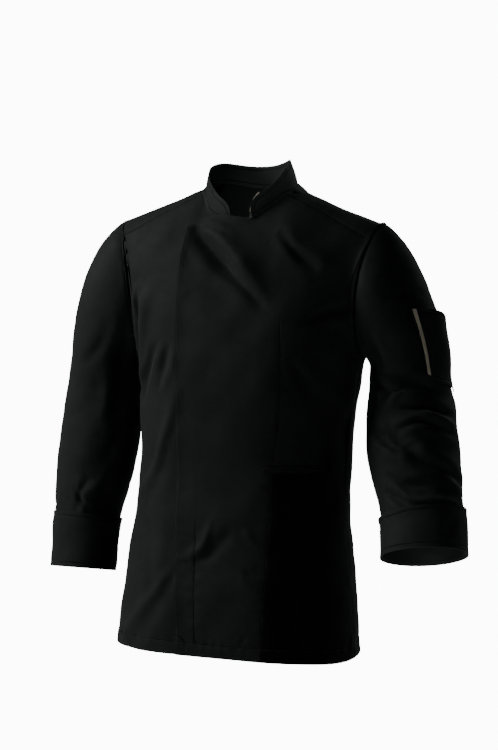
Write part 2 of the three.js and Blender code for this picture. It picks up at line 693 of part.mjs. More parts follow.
// The blank label at the back neck, hanging inside from the neck seam.
function neckLabel() {
  const at = (i, j, lift) => {
    const angle = THREE.MathUtils.lerp(LABEL.from, LABEL.to, i / LABEL.columns);
    const out = point(Math.sin(radians(angle)), Math.cos(radians(angle)), 0);
    return neckPoint(angle).addScaledVector(out, -LABEL.inset - lift)
      .add(point(0, 0, LABEL.raise - LABEL.drop * (1 - j / LABEL.rows)));
  };
  const front = (i, j) => at(i, j, TRIM_WALL);
  return clothWall(LABEL.columns, LABEL.rows, (i, j) => at(i, j, 0), front, false, true);
}

// The pen pocket on the wearer's left sleeve, a patch whose mouth stands open.
function pocketAt(skin, i, j, lift) {
  const across = i / PEN_POCKET.columns;
  const down = 1 - j / PEN_POCKET.rows;
  const angle = THREE.MathUtils.lerp(PEN_POCKET.front, PEN_POCKET.back, across);
  const top = PEN_POCKET.top + PEN_POCKET.topDrop * across;
  const foot = PEN_POCKET.foot + PEN_POCKET.footDrop * across;
  const level = THREE.MathUtils.lerp(top, foot, down);
  const gape = PEN_POCKET.gape * Math.sin(Math.PI * across) ** 1.2 * (1 - down) ** 1.6;
  return skin(angle, level, PEN_POCKET.stand + gape + lift);
}

function penPocket(skin) {
  return clothWall(
    PEN_POCKET.columns, PEN_POCKET.rows,
    (i, j) => pocketAt(skin, i, j, 0),
    (i, j) => pocketAt(skin, i, j, -WALL),
  );
}

// The pale tape lies along the pocket's front edge, made from the points of the pocket's first column.
function penPocketTape(skin) {
  const first = PEN_POCKET.rows - PEN_TAPE.rows;
  const at = (i, j, lift) => {
    const t = i === 0 ? PEN_TAPE.from : PEN_TAPE.to;
    return pocketAt(skin, 0, first + j, lift).lerp(pocketAt(skin, 1, first + j, lift), t);
  };
  const outer = (i, j) => at(i, j, PEN_TAPE.stand + TRIM_WALL);
  const inner = (i, j) => at(i, j, PEN_TAPE.stand);
  return clothWall(1, PEN_TAPE.rows, outer, inner);
}

// The welt of the horizontal pocket at the wearer's left waist, made from the front's own points.
function waistPocketWelt() {
  const at = (i, j, lift) => {
    const angle = THREE.MathUtils.lerp(WELT.fromAngle, WELT.toAngle, i / WELT.columns);
    const z = WELT.z - WELT.height * (1 - j);
    const row = BODY_ROWS * (z - hemLevel(angle)) / (CHEST_LEVEL - hemLevel(angle));
    return torsoSkin(angle, row, WELT.stand + lift);
  };
  return clothWall(WELT.columns, 1, (i, j) => at(i, j, TRIM_WALL), (i, j) => at(i, j, 0));
}

const jacket = new THREE.Group();
const frontLeft = front({
  side: 1, edge: CLOSING_EDGE, top: LAP_TOP, topFrom: LAP_TOP_FROM, inset: () => 0,
});
const frontRight = front({
  side: -1, edge: HIDDEN_EDGE, top: HIDDEN_TOP, topFrom: HIDDEN_TOP_FROM, inset: lapInset,
});
jacket.add(piece("front_left", frontLeft, CLOTH_COLOUR));
jacket.add(piece("front_right", frontRight, CLOTH_COLOUR));

const [leftBackSeam, rightBackSeam] = [180 - BACK_SEAM_ANGLE, 180 + BACK_SEAM_ANGLE];
const backLeft = backPanel(
  [[180 - TIP_ANGLE, 11], [180 - NECK_ANGLE, 3], [leftBackSeam, 3]], SIDE_ANGLE + 0.02, false, true,
);
const backCentre = backPanel([[rightBackSeam, 6]], leftBackSeam, true, true);
const backRight = backPanel(
  [[180 + NECK_ANGLE, 3], [180 + TIP_ANGLE, 3], [270, 11]], rightBackSeam, true, false,
);
jacket.add(piece("back_left", backLeft, CLOTH_COLOUR));
jacket.add(piece("back_centre", backCentre, INSIDE_COLOUR));
jacket.add(piece("back_right", backRight, CLOTH_COLOUR));

const leftArm = { side: 1, arm: LEFT_ARM, folds: LEFT_ARM_FOLDS, cuffFrom: CUFF_FROM.left };
const rightArm = { side: -1, arm: RIGHT_ARM, folds: RIGHT_ARM_FOLDS, cuffFrom: CUFF_FROM.right };
const leftSkin = sleeveSkin(leftArm);
const rightSkin = sleeveSkin(rightArm);
jacket.add(piece("sleeve_left", sleeve(1, leftSkin), CLOTH_COLOUR));
jacket.add(piece("cuff_left", cuff(leftArm, leftSkin), CLOTH_COLOUR));
jacket.add(piece("sleeve_right", sleeve(-1, rightSkin), CLOTH_COLOUR));
jacket.add(piece("cuff_right", cuff(rightArm, rightSkin), CLOTH_COLOUR));

jacket.add(piece("collar", collar(), CLOTH_COLOUR));
jacket.add(piece("collar_piping", collarPiping(), TAPE_COLOUR));
jacket.add(piece("neck_label", neckLabel(), LABEL_COLOUR));
jacket.add(piece("pen_pocket", penPocket(leftSkin), CLOTH_COLOUR));
jacket.add(piece("pen_pocket_tape", penPocketTape(leftSkin), TAPE_COLOUR));
jacket.add(piece("waist_pocket_welt", waistPocketWelt(), CLOTH_COLOUR));

export default jacket;
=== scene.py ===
"""A black chef jacket on an invisible form: its cloth, sewing, trims and studio, made over the CAD frame."""
import math

import bmesh
import bpy
import numpy as np
from bpy.props import FloatProperty, FloatVectorProperty, IntProperty, PointerProperty
from bpy.types import Operator, Panel, PropertyGroup
from mathutils import Matrix, Vector
from mathutils.bvhtree import BVHTree
from mathutils.kdtree import KDTree


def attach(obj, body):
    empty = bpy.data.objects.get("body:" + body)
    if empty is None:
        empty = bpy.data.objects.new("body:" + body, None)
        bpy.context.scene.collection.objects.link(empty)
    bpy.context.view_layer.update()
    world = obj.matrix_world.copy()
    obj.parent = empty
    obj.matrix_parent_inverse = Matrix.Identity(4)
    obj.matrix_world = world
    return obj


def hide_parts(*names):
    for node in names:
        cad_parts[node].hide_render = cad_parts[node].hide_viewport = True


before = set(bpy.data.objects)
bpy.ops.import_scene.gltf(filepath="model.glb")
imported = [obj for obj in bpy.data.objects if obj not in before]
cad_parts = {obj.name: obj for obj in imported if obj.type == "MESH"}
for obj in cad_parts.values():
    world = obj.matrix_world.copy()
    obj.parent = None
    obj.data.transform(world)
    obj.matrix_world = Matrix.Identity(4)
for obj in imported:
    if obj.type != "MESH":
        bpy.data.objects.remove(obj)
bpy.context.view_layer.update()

bl_info = {
    "name": "Chef Jacket",
    "version": (1, 0, 0),
    "blender": (4, 5, 0),
    "location": "View3D > Sidebar > Chef Jacket",
    "description": "Makes the cloth, sewing and studio of a chef jacket over its CAD frame",
    "category": "Object",
}

MM = 0.001

# The photograph's view: where it looks from and at, and how long its lens is for a picture 750 px high
VIEW_AZIMUTH = 21.0
VIEW_ELEVATION = 6.0
VIEW_DISTANCE = 3400.0
VIEW_TARGET = (0.0, 0.0, -297.0)
VIEW_FOCAL_PX = 2125.0
PICTURE_HEIGHT_PX = 750.0
AIM_TO_IMAGE_LEFT = 6.4
# The middle of what shows inside the back of the neck, which a small light of its own reaches
NECK_BACK = (10.0, 60.0, 6.0)
# The mouth of the left cuff, which another small light shines up into
CUFF_MOUTH = (316.0, -72.0, -596.0)
SENSOR_MM = 36.0

# Centre lines of the arms, in mm for the wearer's left; the right one's x is mirrored
LEFT_ARM_LINE = (
    (256, 12, -272), (257.5, 13, -312), (262, 8, -352), (272, -10, -408), (288, -34, -464),
    (300, -53, -509), (308, -73, -555),
)
RIGHT_ARM_LINE = (
    (-258, 8, -272), (-263, 8, -330), (-270, 2, -400), (-276, -8, -460), (-281.5, -19, -520),
    (-283, -30, -570), (-283, -41, -620),
)
ARM_RADIUS = 62.0

# Folds: the line that each runs along in mm, its width and depth in mm (a ridge has a negative depth), and
# its lean, which is how much fuller the cloth stands on the left of the line than on its right
FRONT_FOLDS = (
    (((-63, -68), (-14, -112), (30, -150), (51, -170)), 9, 9.0, 0.1),
    (((-30, -62), (10, -98), (44, -136)), 16, -3.0, 0.0),
    (((-172, -168), (-174, -220), (-178, -320)), 9, 10.0, 0.1),
    (((-150, -158), (-158, -210), (-150, -250)), 9, -2.6, 0.0),
    (((-48, -59), (-30, -62), (-11, -67)), 4, 2.0, 0.0),
    (((-184, -196), (-171, -160), (-160, -188)), 6, -3.0, 0.0),
    (((-128, -246), (-146, -290), (-165, -336)), 7, 5.0, -0.4),
    (((-104, -248), (-110, -276), (-122, -309)), 6, 3.8, 0.3),
    (((-90, -329), (-108, -384), (-129, -440), (-169, -498)), 9, -3.2, 0.0),
    (((-89, -596), (-120, -640), (-177, -711)), 9, -3.2, 0.2),
    (((79, -71), (104, -96), (133, -117)), 7, 4.4, 0.2),
    (((190, -176), (144, -190), (121, -208)), 7, 3.4, 0.3),
    (((104, -264), (124, -296), (130, -335)), 6, 2.6, 0.4),
    (((-21, -518), (-34, -556), (-63, -583)), 7, -2.4, 0.0),
    (((10, -532), (-24, -566), (-60, -581)), 8, 2.4, 0.0),
    (((38, -531), (50, -544), (68, -551)), 6, -2.0, 0.0),
    (((42, -590), (47, -593), (54, -594)), 5, 1.6, 0.0),
    (((41, -693), (36, -702), (30, -712)), 4, 1.2, 0.0),
    (((-70, -539), (-58, -541), (-46, -545)), 3.5, 1.2, 0.0),
    (((-70, -582), (-60, -583), (-48, -588)), 3.5, 1.2, 0.0),
    (((-70, -604), (-60, -606), (-49, -611)), 3.5, 1.1, 0.0),
    (((-70, -622), (-60, -625), (-50, -628)), 3.5, 1.1, 0.0),
    (((60, -600), (96, -640), (112, -716)), 12, 3.0, -0.3),
    (((152, -330), (160, -410), (150, -500)), 11, 3.2, 0.2),
    (((-150, -520), (-132, -560), (-120, -640)), 12, 2.6, 0.3),
)
BACK_FOLDS = (
    (((164, -204), (138, -262), (120, -330)), 9, 4.0, 0.4),
    (((-164, -204), (-138, -262), (-118, -322)), 9, 4.2, -0.4),
    (((120, -250), (104, -300), (100, -352)), 8, 2.4, 0.0),
    (((-124, -258), (-104, -296), (-98, -346)), 8, 2.2, 0.0),
    (((-110, -400), (-20, -432), (78, -426)), 11, 3.6, 0.3),
    (((96, -452), (30, -476), (-44, -480)), 9, 2.8, -0.2),
    (((-70, -498), (-10, -512), (40, -506)), 8, 2.0, 0.0),
    (((-104, -560), (-116, -640), (-110, -726)), 13, 3.6, 0.2),
    (((62, -580), (78, -650), (72, -728)), 13, 3.4, 0.0),
    (((-20, -640), (-12, -690), (-16, -732)), 12, 2.4, 0.0),
    (((-60, -92), (-96, -118), (-130, -128)), 8, 2.0, 0.0),
    (((60, -94), (92, -122), (128, -134)), 8, 2.0, 0.0),
    (((-30, -150), (0, -164), (34, -152)), 10, 1.8, 0.0),
    (((158, -520), (150, -600), (160, -690)), 10, 2.4, 0.0),
    (((-158, -500), (-152, -590), (-160, -690)), 10, 2.4, 0.0),
)
# The sleeves' folds run along (mm down the arm, degrees round it: 0 outside, 90 front, 180 inside)
LEFT_SLEEVE_FOLDS = (
    (((-111, 96), (-114, 70), (-117, 40)), 5, 3.2, 0.0),
    (((-60, 120), (-30, 118), (4, 112)), 7, 3.4, 0.3),
    (((9, 110), (20, 76), (34, 41)), 7, 6.4, 0.4),
    (((26, 125), (33, 104), (35, 87)), 5, 4.6, 0.0),
    (((35, 87), (46, 104), (61, 116)), 5, 4.6, 0.0),
    (((70, 79), (80, 46), (93, 12)), 7, 6.6, 0.3),
    (((108, 136), (128, 118), (152, 100)), 6, 5.2, 0.0),
    (((114, 93), (105, 61), (123, 10)), 6, 6.0, -0.2),
    (((120, 109), (150, 84), (174, 65), (203, 2)), 9, 8.0, 0.4),
    (((186, 120), (204, 96), (214, 60)), 6, 5.2, 0.2),
    (((215, 109), (233, 80), (239, 19)), 6, -4.6, 0.0),
    (((211, 128), (228, 110), (246, 93)), 5, 3.6, 0.0),
    (((4, 196), (24, 226), (40, 262)), 8, 4.6, 0.3),
    (((52, 330), (78, 300), (96, 272)), 8, 5.0, 0.0),
    (((92, 214), (118, 252), (140, 300)), 9, 5.8, 0.2),
    (((168, 196), (190, 234), (204, 280)), 9, 5.4, 0.3),
    (((180, 340), (206, 316), (226, 286)), 7, 4.4, 0.0),
    (((150, 330), (160, 300), (166, 268)), 6, 3.0, 0.0),
)
RIGHT_SLEEVE_FOLDS = (
    (((-70, 118), (-34, 108), (6, 84)), 10, 2.0, 0.3),
    (((-78, 134), (-20, 136), (40, 136), (112, 134)), 9, 7.0, 0.2),
    (((20, 150), (60, 136), (104, 124)), 10, 2.6, 0.2),
    (((84, 156), (124, 140), (170, 132)), 9, 3.2, 0.3),
    (((188, 143), (220, 138), (248, 133)), 7, 3.6, 0.0),
    (((212, 106), (232, 96), (256, 96)), 7, 2.6, 0.2),
    (((230, 86), (246, 100), (262, 117)), 5, 2.8, 0.0),
    (((240, 42), (252, 30), (262, 14)), 5, 1.8, 0.0),
    (((10, 200), (34, 236), (50, 280)), 9, 3.4, 0.2),
    (((70, 330), (96, 296), (110, 262)), 9, 3.4, 0.0),
    (((120, 206), (150, 240), (170, 290)), 9, 4.0, 0.3),
    (((196, 330), (214, 296), (232, 262)), 8, 3.4, 0.0),
    (((206, 200), (226, 228), (244, 250)), 6, 2.6, 0.0),
)
CUFF_FOLDS = (
    (((262, 30), (280, 40), (300, 44)), 7, 1.6, 0.0),
    (((270, 150), (290, 160), (320, 158)), 8, 1.6, 0.0),
    (((268, 240), (292, 232), (318, 236)), 8, 1.4, 0.0),
    (((266, 320), (286, 316), (312, 322)), 8, 1.4, 0.0),
)
RIGHT_CUFF_NOTCH = (((296, 173), (310, 182), (326, 193)), 2.6, 2.6, 0.0)
# Rows of stitches on the fronts, as lines in (x, z) mm seen from straight in front
PLACKET_LINE = ((-47, -520), (-45, -584), (-42, -650), (-38, -708))
SECOND_LINE = ((88, -196), (87, -321), (74, -429), (73, -508), (70, -588), (66, -722))
# The waist pocket: how far below the neck its mouth is, and where it ends
WAIST_POCKET = {"z": 427.0, "end_x": 145.0}
# The seam below each shoulder: the right one is listed, and the left one mirrors it
RIGHT_YOKE = ((-204, -74), (-177, -60), (-134, -37), (-92, -18), (-74, -9))
YOKE_LINES = {"front_right": RIGHT_YOKE, "front_left": tuple((-x, z) for x, z in RIGHT_YOKE)}
# The marks that the hidden press studs raise: places in (x, z) mm, radius and height in mm
SNAPS = ((-78, -464), (-72, -160), (-76, -312), (-74, -610))
SNAP_RADIUS = 6.0
SNAP_HEIGHT = 0.9

# How the collar finds the neck edge, in mm: how low and how wide that edge reaches, how steeply the cloth falls
# away from it, what counts as close to it, and how far off it may be, at the collar's left end and elsewhere
NECK_LOW_Z = -80.0
NECK_RADIUS = 118.0
NECK_FALL = 0.6
NECK_CLOSE = 9.0
NECK_GAP_LEFT = 42.0
NECK_GAP = 24.0
# How far the collar laps over the neck edge, how much further at its right end, and how far it stands off
COLLAR_LAP = 3.0
COLLAR_END_LAP = 6.0
COLLAR_STAND = 0.9
# Where the shoulder seams meet the collar (across, back), and how far its edge is sunk into them there
COLLAR_CORNER = (66.0, 8.0)
COLLAR_CORNER_SPREAD = 18.0
COLLAR_CORNER_LAP = 8.0
# The high point of the collar's left end, how wide it is, and how far it is pulled down, in mm
COLLAR_TIP = (61, -5, 42)
COLLAR_TIP_SPREAD = 9.0
COLLAR_TIP_DROP = 4.0

# The lap of the left front over the right one, in mm: how far its edge stands up and how widely, how deep the
# right one's groove beside it is, and the share of the distance that its painted line of shade takes for a groove's
CLOSING_LIFT = 1.6
CLOSING_SPREAD = 14.0
CLOSING_GROOVE = 1.6
CLOSING_NARROWING = 0.45
# Heights in mm: the throat's edge, the end of the neck's seam above it, the foot of the closing edge, the lowest
# place of a seam, the highest of the hem's edge, the bottom of the armhole, and the top of the sleeve's tube
THROAT_Z = -62.0
TOP_SEAM_Z = -58.0
CLOSING_FOOT_Z = -716.0
HEM_SEAM_Z = -712.0
HEM_EDGE_Z = -708.0
ARMHOLE_Z = -268.0
SLEEVE_HEAD_Z = -330.0
# How far from the middle, in mm: the fronts' free edges at most, and the armholes at least
FRONT_HALF = 100.0
ARMHOLE_X = 150.0
# How far above a panel's lowest point its hem's edge may run, and how far from its edge a cuff is sewn, in mm
HEM_REACH = 24.0
CUFF_HEM = 7.0

# Attributes that hold how far a point of the cloth is from a sewn line or a lapped edge, with its side; the material
# bumps a groove there and paints a thin line of shade in it
GROOVES = ("hem_mm", "placket_mm", "panel_mm", "yoke_mm", "closing_mm")
# Distances in mm that stand for no groove and for no edge at all
NO_GROOVE = 20.0
FAR_OFF = 1e3
# The radii in mm by which the torso and the small pieces are laid flat
TORSO_RADIUS = 150.0
SMALL_RADIUS = 80.0
# In metres: the thickness of the tapes and the label, that of the pocket's welt, and how near two points are one
TAPE_WALL = 0.0009
WELT_WALL = 0.0010
SAME_POINT = 0.00002
# How much of the frame's width the tape of the sleeve pocket has
TAPE_SHARE = 0.66
# How sharply a sheet turns at its rim, and how the twill's ribs slant, in degrees
RIM_ANGLE = 55.0
TWILL_ANGLE = 27.0
# A stitch: corners round it, its ends' share of its thickness, how far they sink, and how far it is lifted
STITCH_CORNERS = 5
STITCH_END = 0.62
STITCH_SINK = 0.35
STITCH_LIFT = 0.35
# How much of the bounce light's power its large area has; the small one at the cuff has all of it
BOUNCE_SHARE = 0.1

TORSO = ("front_left_cloth", "front_right_cloth", "back_left_cloth", "back_centre_cloth", "back_right_cloth")
# Each piece's outer side and open edges, kept for the sewing
PIECES = {}
BOUNDARIES = {}


# ------------------------------------------------------------------ sizes and colours


def number_of(name, description, default, low=None, high=None, **more):
    """A number of the panel, with its limits where it has them."""
    limits = {key: value for key, value in (("min", low), ("max", high)) if value is not None}
    return FloatProperty(name=name, description=description, default=default, **limits, **more)


def length_of(name, description, default, low=None, high=None):
    """A length of the panel, in metres."""
    return number_of(name, description, default, low, high, unit="LENGTH")


def colour_of(name, description, default):
    """A colour of the panel."""
    return FloatVectorProperty(
        name=name, description=description, default=default, subtype="COLOR", min=0.0, max=1.0,
    )


class JacketCloth(PropertyGroup):
    """Sizes and colours of the twill."""

    wall: length_of("Cloth thickness", "Thickness of the twill, with its turned edges", 0.0015, 0.0008, 0.003)
    collar_wall: length_of("Collar thickness", "Thickness of the collar's two layers", 0.0021, 0.001, 0.004)
    detail: IntProperty(
        name="Detail", description="How often the frame's faces are divided", default=3, min=1, max=4,
    )
    fold_depth: number_of(
        "Fold depth", "How deep the creases are, as a share of their sizes", 1.0, 0.0, 2.0, subtype="FACTOR",
    )
    crumple: length_of("Crumple", "Height of the cloth's soft unevenness", 0.0009, 0.0, 0.004)
    hem: length_of("Hem depth", "How far above its edge the hem is sewn", 0.020, 0.008, 0.05)
    wale: length_of("Twill pitch", "Distance from one diagonal rib of the twill to the next", 0.0011, 0.0004, 0.004)
    black: colour_of("Cloth colour", "Colour of the black twill", (0.0086, 0.0105, 0.0100))
    # Painted shade: this near-black colour is painted on the left front's panel below the waist pocket and in a thin
    # line along the sewn lines.
    cross: colour_of(
        "Painted shade colour", "Colour painted as shade on the panel below the waist pocket and along the sewn lines", (0.0007, 0.0008, 0.0009),
    )
    faded: colour_of("Worn colour", "Colour of the twill where it has been rubbed", (0.0165, 0.0198, 0.0185))


class JacketSewing(PropertyGroup):
    """Sizes and colours of the sewing and the trims."""

    stitch: length_of("Stitch length", "Length of one stitch", 0.0030)
    gap: length_of("Stitch gap", "Gap between two stitches", 0.0008)
    thread: length_of("Thread", "Thickness of the sewing thread", 0.00055)
    edge: length_of("Edge distance", "How far the edge stitching runs from a seam", 0.005)
    thread_black: colour_of("Thread colour", "Colour of the black sewing thread", (0.011, 0.012, 0.012))
    tape: colour_of("Tape colour", "Colour of the pale tape and piping", (0.50, 0.47, 0.36))
    label: colour_of("Label colour", "Colour of the blank neck label", (0.62, 0.61, 0.58))


class JacketStage(PropertyGroup):
    """Sizes and strengths of the studio."""

    floor: length_of("Floor height", "Height of the pale floor below the neck", -1.25)
    key: number_of("Key light", "Power of the large soft light", 47.0, 0.0)
    rim: number_of("Rim light", "Power of the light from behind", 5.0, 0.0)
    neck: number_of("Neck light", "Power of the small light that shines into the collar", 56.0, 0.0)
    bounce: number_of("Bounce light", "Power of the light that comes up from the floor", 26.0, 0.0)
    sky: number_of("Room light", "Strength of the white room", 0.03, 0.0)
    backdrop: number_of("Backdrop", "How bright the white behind the jacket looks", 12.0, 0.0)


# ------------------------------------------------------------------ tools of the making


def only(obj):
    """Selects one object and makes it the active one."""
    if bpy.context.mode != "OBJECT":
        bpy.ops.object.mode_set(mode="OBJECT")
    bpy.ops.object.select_all(action="DESELECT")
    obj.select_set(True)
    bpy.context.view_layer.objects.active = obj


def add_object(name, data):
    """Adds an object to the scene."""
    obj = bpy.data.objects.new(name, data)
    bpy.context.scene.collection.objects.link(obj)
    return obj


def edit_whole(obj, step, **settings):
    """Takes this step on the whole mesh in edit mode."""
    only(obj)
    bpy.ops.object.mode_set(mode="EDIT")
    bpy.ops.mesh.select_all(action="SELECT")
    step(**settings)
    bpy.ops.object.mode_set(mode="OBJECT")


def outer_side(node_name, away):
    """A copy of the node's outer side, in four-sided faces. away(point) points out of the cloth there."""
    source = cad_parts.get(node_name)
    if source is None:
        raise RuntimeError(f"the frame has no node {node_name}")
    obj = add_object(node_name + "_cloth", source.data.copy())
    obj.data.name = obj.name
    obj.data.materials.clear()
    edit_whole(obj, bpy.ops.mesh.remove_doubles, threshold=SAME_POINT)
    mesh = bmesh.new()
    mesh.from_mesh(obj.data)
    mesh.faces.ensure_lookup_table()
    seed = max(mesh.faces, key=lambda f: f.normal.dot(away(f.calc_center_median())) * f.calc_area())
    kept = {seed}
    waiting = [seed]
    flat_enough = math.cos(math.radians(RIM_ANGLE))
    while waiting:
        face = waiting.pop()
        for edge in face.edges:
            for other in edge.link_faces:
                if other not in kept and other.normal.dot(face.normal) > flat_enough:
                    kept.add(other)
                    waiting.append(other)
    bmesh.ops.delete(mesh, geom=[f for f in mesh.faces if f not in kept], context="FACES")
    mesh.to_mesh(obj.data)
    mesh.free()
    edit_whole(
        obj, bpy.ops.mesh.tris_convert_to_quads, face_threshold=math.radians(70), shape_threshold=math.radians(80),
    )
    return obj


def finish_modifier(obj, kind, **settings):
    """Adds a modifier with these settings and applies it."""
    modifier = obj.modifiers.new(kind.title(), kind)
    for key, value in settings.items():
        setattr(modifier, key, value)
    only(obj)
    bpy.ops.object.modifier_apply(modifier=modifier.name)


def divide(obj, levels):
    """Rounds the cloth by subdividing it, with its corners kept."""
    finish_modifier(obj, "SUBSURF", levels=levels, render_levels=levels, boundary_smooth="PRESERVE_CORNERS")


def points_of(obj):
    """The mesh's points and their normals, points in mm."""
    points, normals = np.zeros((2, len(obj.data.vertices) * 3))
    obj.data.vertices.foreach_get("co", points)
    obj.data.vertices.foreach_get("normal", normals)
    return points.reshape(-1, 3) / MM, normals.reshape(-1, 3)


def move_points(obj, points):
    """Puts the mesh's points at these places, in mm."""
    obj.data.vertices.foreach_set("co", (points * MM).ravel())
    obj.data.update()


def bell(values, width):
    """1 where the values are nothing, falling softly away on both sides."""
    return np.exp(-((values / width) ** 2))


def smooth_line(line, pitch):
    """Points about pitch apart along a smooth curve through the line's points."""
    corners = [np.array(p, float) for p in line]
    corners = [2 * corners[0] - corners[1]] + corners + [2 * corners[-1] - corners[-2]]
    out = []
    for a, b, c, d in zip(corners, corners[1:], corners[2:], corners[3:]):
        steps = max(2, int(np.linalg.norm(c - b) / pitch))
        for k in range(steps):
            t = k / steps
            out.append(0.5 * (2 * b + (c - a) * t + (2 * a - 5 * b + 4 * c - d) * t * t
                              + (3 * b - a - 3 * c + d) * t ** 3))
    out.append(corners[-2])
    return np.array(out)


def line_places(places, line, pitch=4.0, beyond=0.0):
    """For each place: signed distance to the line in mm, how far along it (0 to 1), and its run in mm.
    The line is drawn out by beyond mm at both ends."""
    path = smooth_line(line, pitch)
    if beyond:
        first, last = path[0] - path[1], path[-1] - path[-2]
        first = path[0] + first / np.linalg.norm(first) * beyond
        last = path[-1] + last / np.linalg.norm(last) * beyond
        path = smooth_line([first, *path[::2], last], pitch)
    run = np.concatenate([[0], np.cumsum(np.linalg.norm(np.diff(path, axis=0), axis=1))])
    heading = np.gradient(path, axis=0)
    heading /= np.linalg.norm(heading, axis=1)[:, None] + 1e-9
    apart = np.full(len(places), 1e9)
    nearest = np.zeros(len(places), int)
    for k, point in enumerate(path):
        gap = ((places - point) ** 2).sum(1)
        closer = gap < apart
        apart[closer] = gap[closer]
        nearest[closer] = k
    away = places - path[nearest]
    ahead = heading[nearest]
    along = (away * ahead).sum(1)
    across = ahead[:, 0] * away[:, 1] - ahead[:, 1] * away[:, 0]
    inside = (nearest > 0) & (nearest < len(path) - 1)
    distance = np.where(inside, across, np.sign(across + 1e-9) * np.sqrt(apart))
    return distance, nearest / (len(path) - 1), run[nearest] + along * inside


def fold_height(places, folds, depth_share, seed):
    """Height in mm that the folds add at each place of a flat map in mm."""
    rng = np.random.default_rng(seed)
    height = np.zeros(len(places))
    for line, width, depth, lean in folds:
        distance, share, _ = line_places(places, line, 4.0, 1.6 * width)
        turn = rng.uniform(0, 6.28)
        uneven = 1 + 0.22 * np.sin(share * rng.uniform(4, 8) + turn)
        wide = width * (1 + 0.25 * np.sin(share * 5 + turn))
        fade = np.sin(np.pi * np.clip(share, 0, 1)) ** 0.7
        trough = -bell(distance, wide)
        left = (0.42 + 0.4 * lean) * bell(distance - 2.0 * wide, 1.25 * wide)
        right = (0.42 - 0.4 * lean) * bell(distance + 2.0 * wide, 1.25 * wide)
        height += depth * depth_share * uneven * fade * (trough + left + right)
    return height


def crumple_height(points, amount, seed, waves=((92.0, 1.0), (48.0, 0.45), (23.0, 0.1))):
    """A soft unevenness of the cloth, in mm, from a few seeded waves of each length."""
    rng = np.random.default_rng(seed)
    height = np.zeros(len(points))
    for length, share in waves:
        for _ in range(7):
            way = rng.normal(size=3)
            way /= np.linalg.norm(way)
            height += share * np.sin(points @ way * (2 * math.pi / length) + rng.uniform(0, 6.28)) / 2.6
    return height * amount


def seam_pucker(places, line, groove, ripple, pitch, seed):
    """Height in mm of a sewn line: a fine groove with short ripples pulled up beside it."""
    rng = np.random.default_rng(seed)
    distance, share, run = line_places(places, line, 6.0)
    wave = np.sin(run * 2 * math.pi / pitch + 1.7 * np.sin(run / (pitch * 1.9) + rng.uniform(0, 6)))
    ends = np.clip(np.minimum(share, 1 - share) * 12, 0, 1)
    near = bell(distance, 3.0)
    beside = bell(distance, 9.0) - 0.6 * near
    return ends * (ripple * wave * beside - groove * near)


def search_tree(places):
    """A tree that finds the nearest of these places."""
    tree = KDTree(len(places))
    for k, place in enumerate(places):
        tree.insert(place, k)
    tree.balance()
    return tree


def edge_distance(points, edge_points):
    """Distance in mm from each point to the nearest of the edge's points."""
    if len(edge_points) == 0:
        return np.full(len(points), FAR_OFF)
    tree = search_tree(edge_points)
    return np.array([tree.find(p)[2] for p in points])


def edge_loops(obj):
    """The mesh's open edges as ordered lines: places, normals and the ways into the cloth, in mm."""
    mesh = bmesh.new()
    mesh.from_mesh(obj.data)
    mesh.normal_update()
    open_edges = {e for e in mesh.edges if e.is_boundary}
    loops = []
    while open_edges:
        edge = open_edges.pop()
        chain = [edge.verts[0], edge.verts[1]]
        while chain[-1] is not chain[0]:
            following = next((e for e in chain[-1].link_edges if e in open_edges), None)
            if following is None:
                break
            open_edges.discard(following)
            chain.append(following.other_vert(chain[-1]))
        rows = []
        index = []
        count = len(chain) - 1
        for k in range(count):
            vert = chain[k]
            tangent = (chain[(k + 1) % count].co - chain[k - 1 if k else count - 1].co).normalized()
            middle = sum((f.calc_center_median() for f in vert.link_faces), Vector()) / len(vert.link_faces)
            inward = vert.normal.cross(tangent).normalized()
            if inward.dot(middle - vert.co) < 0:
                inward.negate()
            rows.append((tuple(vert.co / MM), tuple(vert.normal), tuple(inward)))
            index.append(vert.index)
        loops.append((np.array(rows), np.array(index)))
    mesh.free()
    return loops


def lap_seams(obj, amount, chosen):
    """Lets the cloth run on past its seams by amount mm, where chosen(place) holds, so that no light comes
    through them."""
    points, _ = points_of(obj)
    for rows, index in edge_loops(obj):
        for (place, _, inward), k in zip(rows, index):
            if chosen(place):
                points[k] = place - inward * amount
    move_points(obj, points)


def set_values(obj, name, values):
    """Keeps one number for each point of the mesh as an attribute that its material reads."""
    layer = obj.data.attributes.new(name, "FLOAT", "POINT")
    layer.data.foreach_set("value", values)


def set_grooves(obj, grooves):
    """Keeps how far each point is from the piece's sewn lines, in mm, for the grooves of its material and the shade
    painted in them.
    """
    for name in GROOVES:
        set_values(obj, name, grooves.get(name, np.full(len(obj.data.vertices), NO_GROOVE)))


def beside_line(places, line):
    """How far each place lies to the left of a line, in mm, and less than nothing on its right."""
    return line_places(places, line, 6.0)[0]


def set_cloth_map(obj, flat):
    """Lays the cloth's flat map, in mm, down as the mesh's UV map, in metres."""
    layer = obj.data.uv_layers.new(name="cloth")
    corners = np.zeros(len(obj.data.loops), int)
    obj.data.loops.foreach_get("vertex_index", corners)
    layer.data.foreach_set("uv", (flat[corners] * MM).ravel())


def torso_map(points):
    """The torso's cloth laid flat: mm round from the centre, and height."""
    angle = np.arctan2(points[:, 0], np.where(np.abs(points[:, 1]) < 1e-6, 1e-6, np.abs(points[:, 1])))
    return np.stack([angle * TORSO_RADIUS, points[:, 2]], 1)


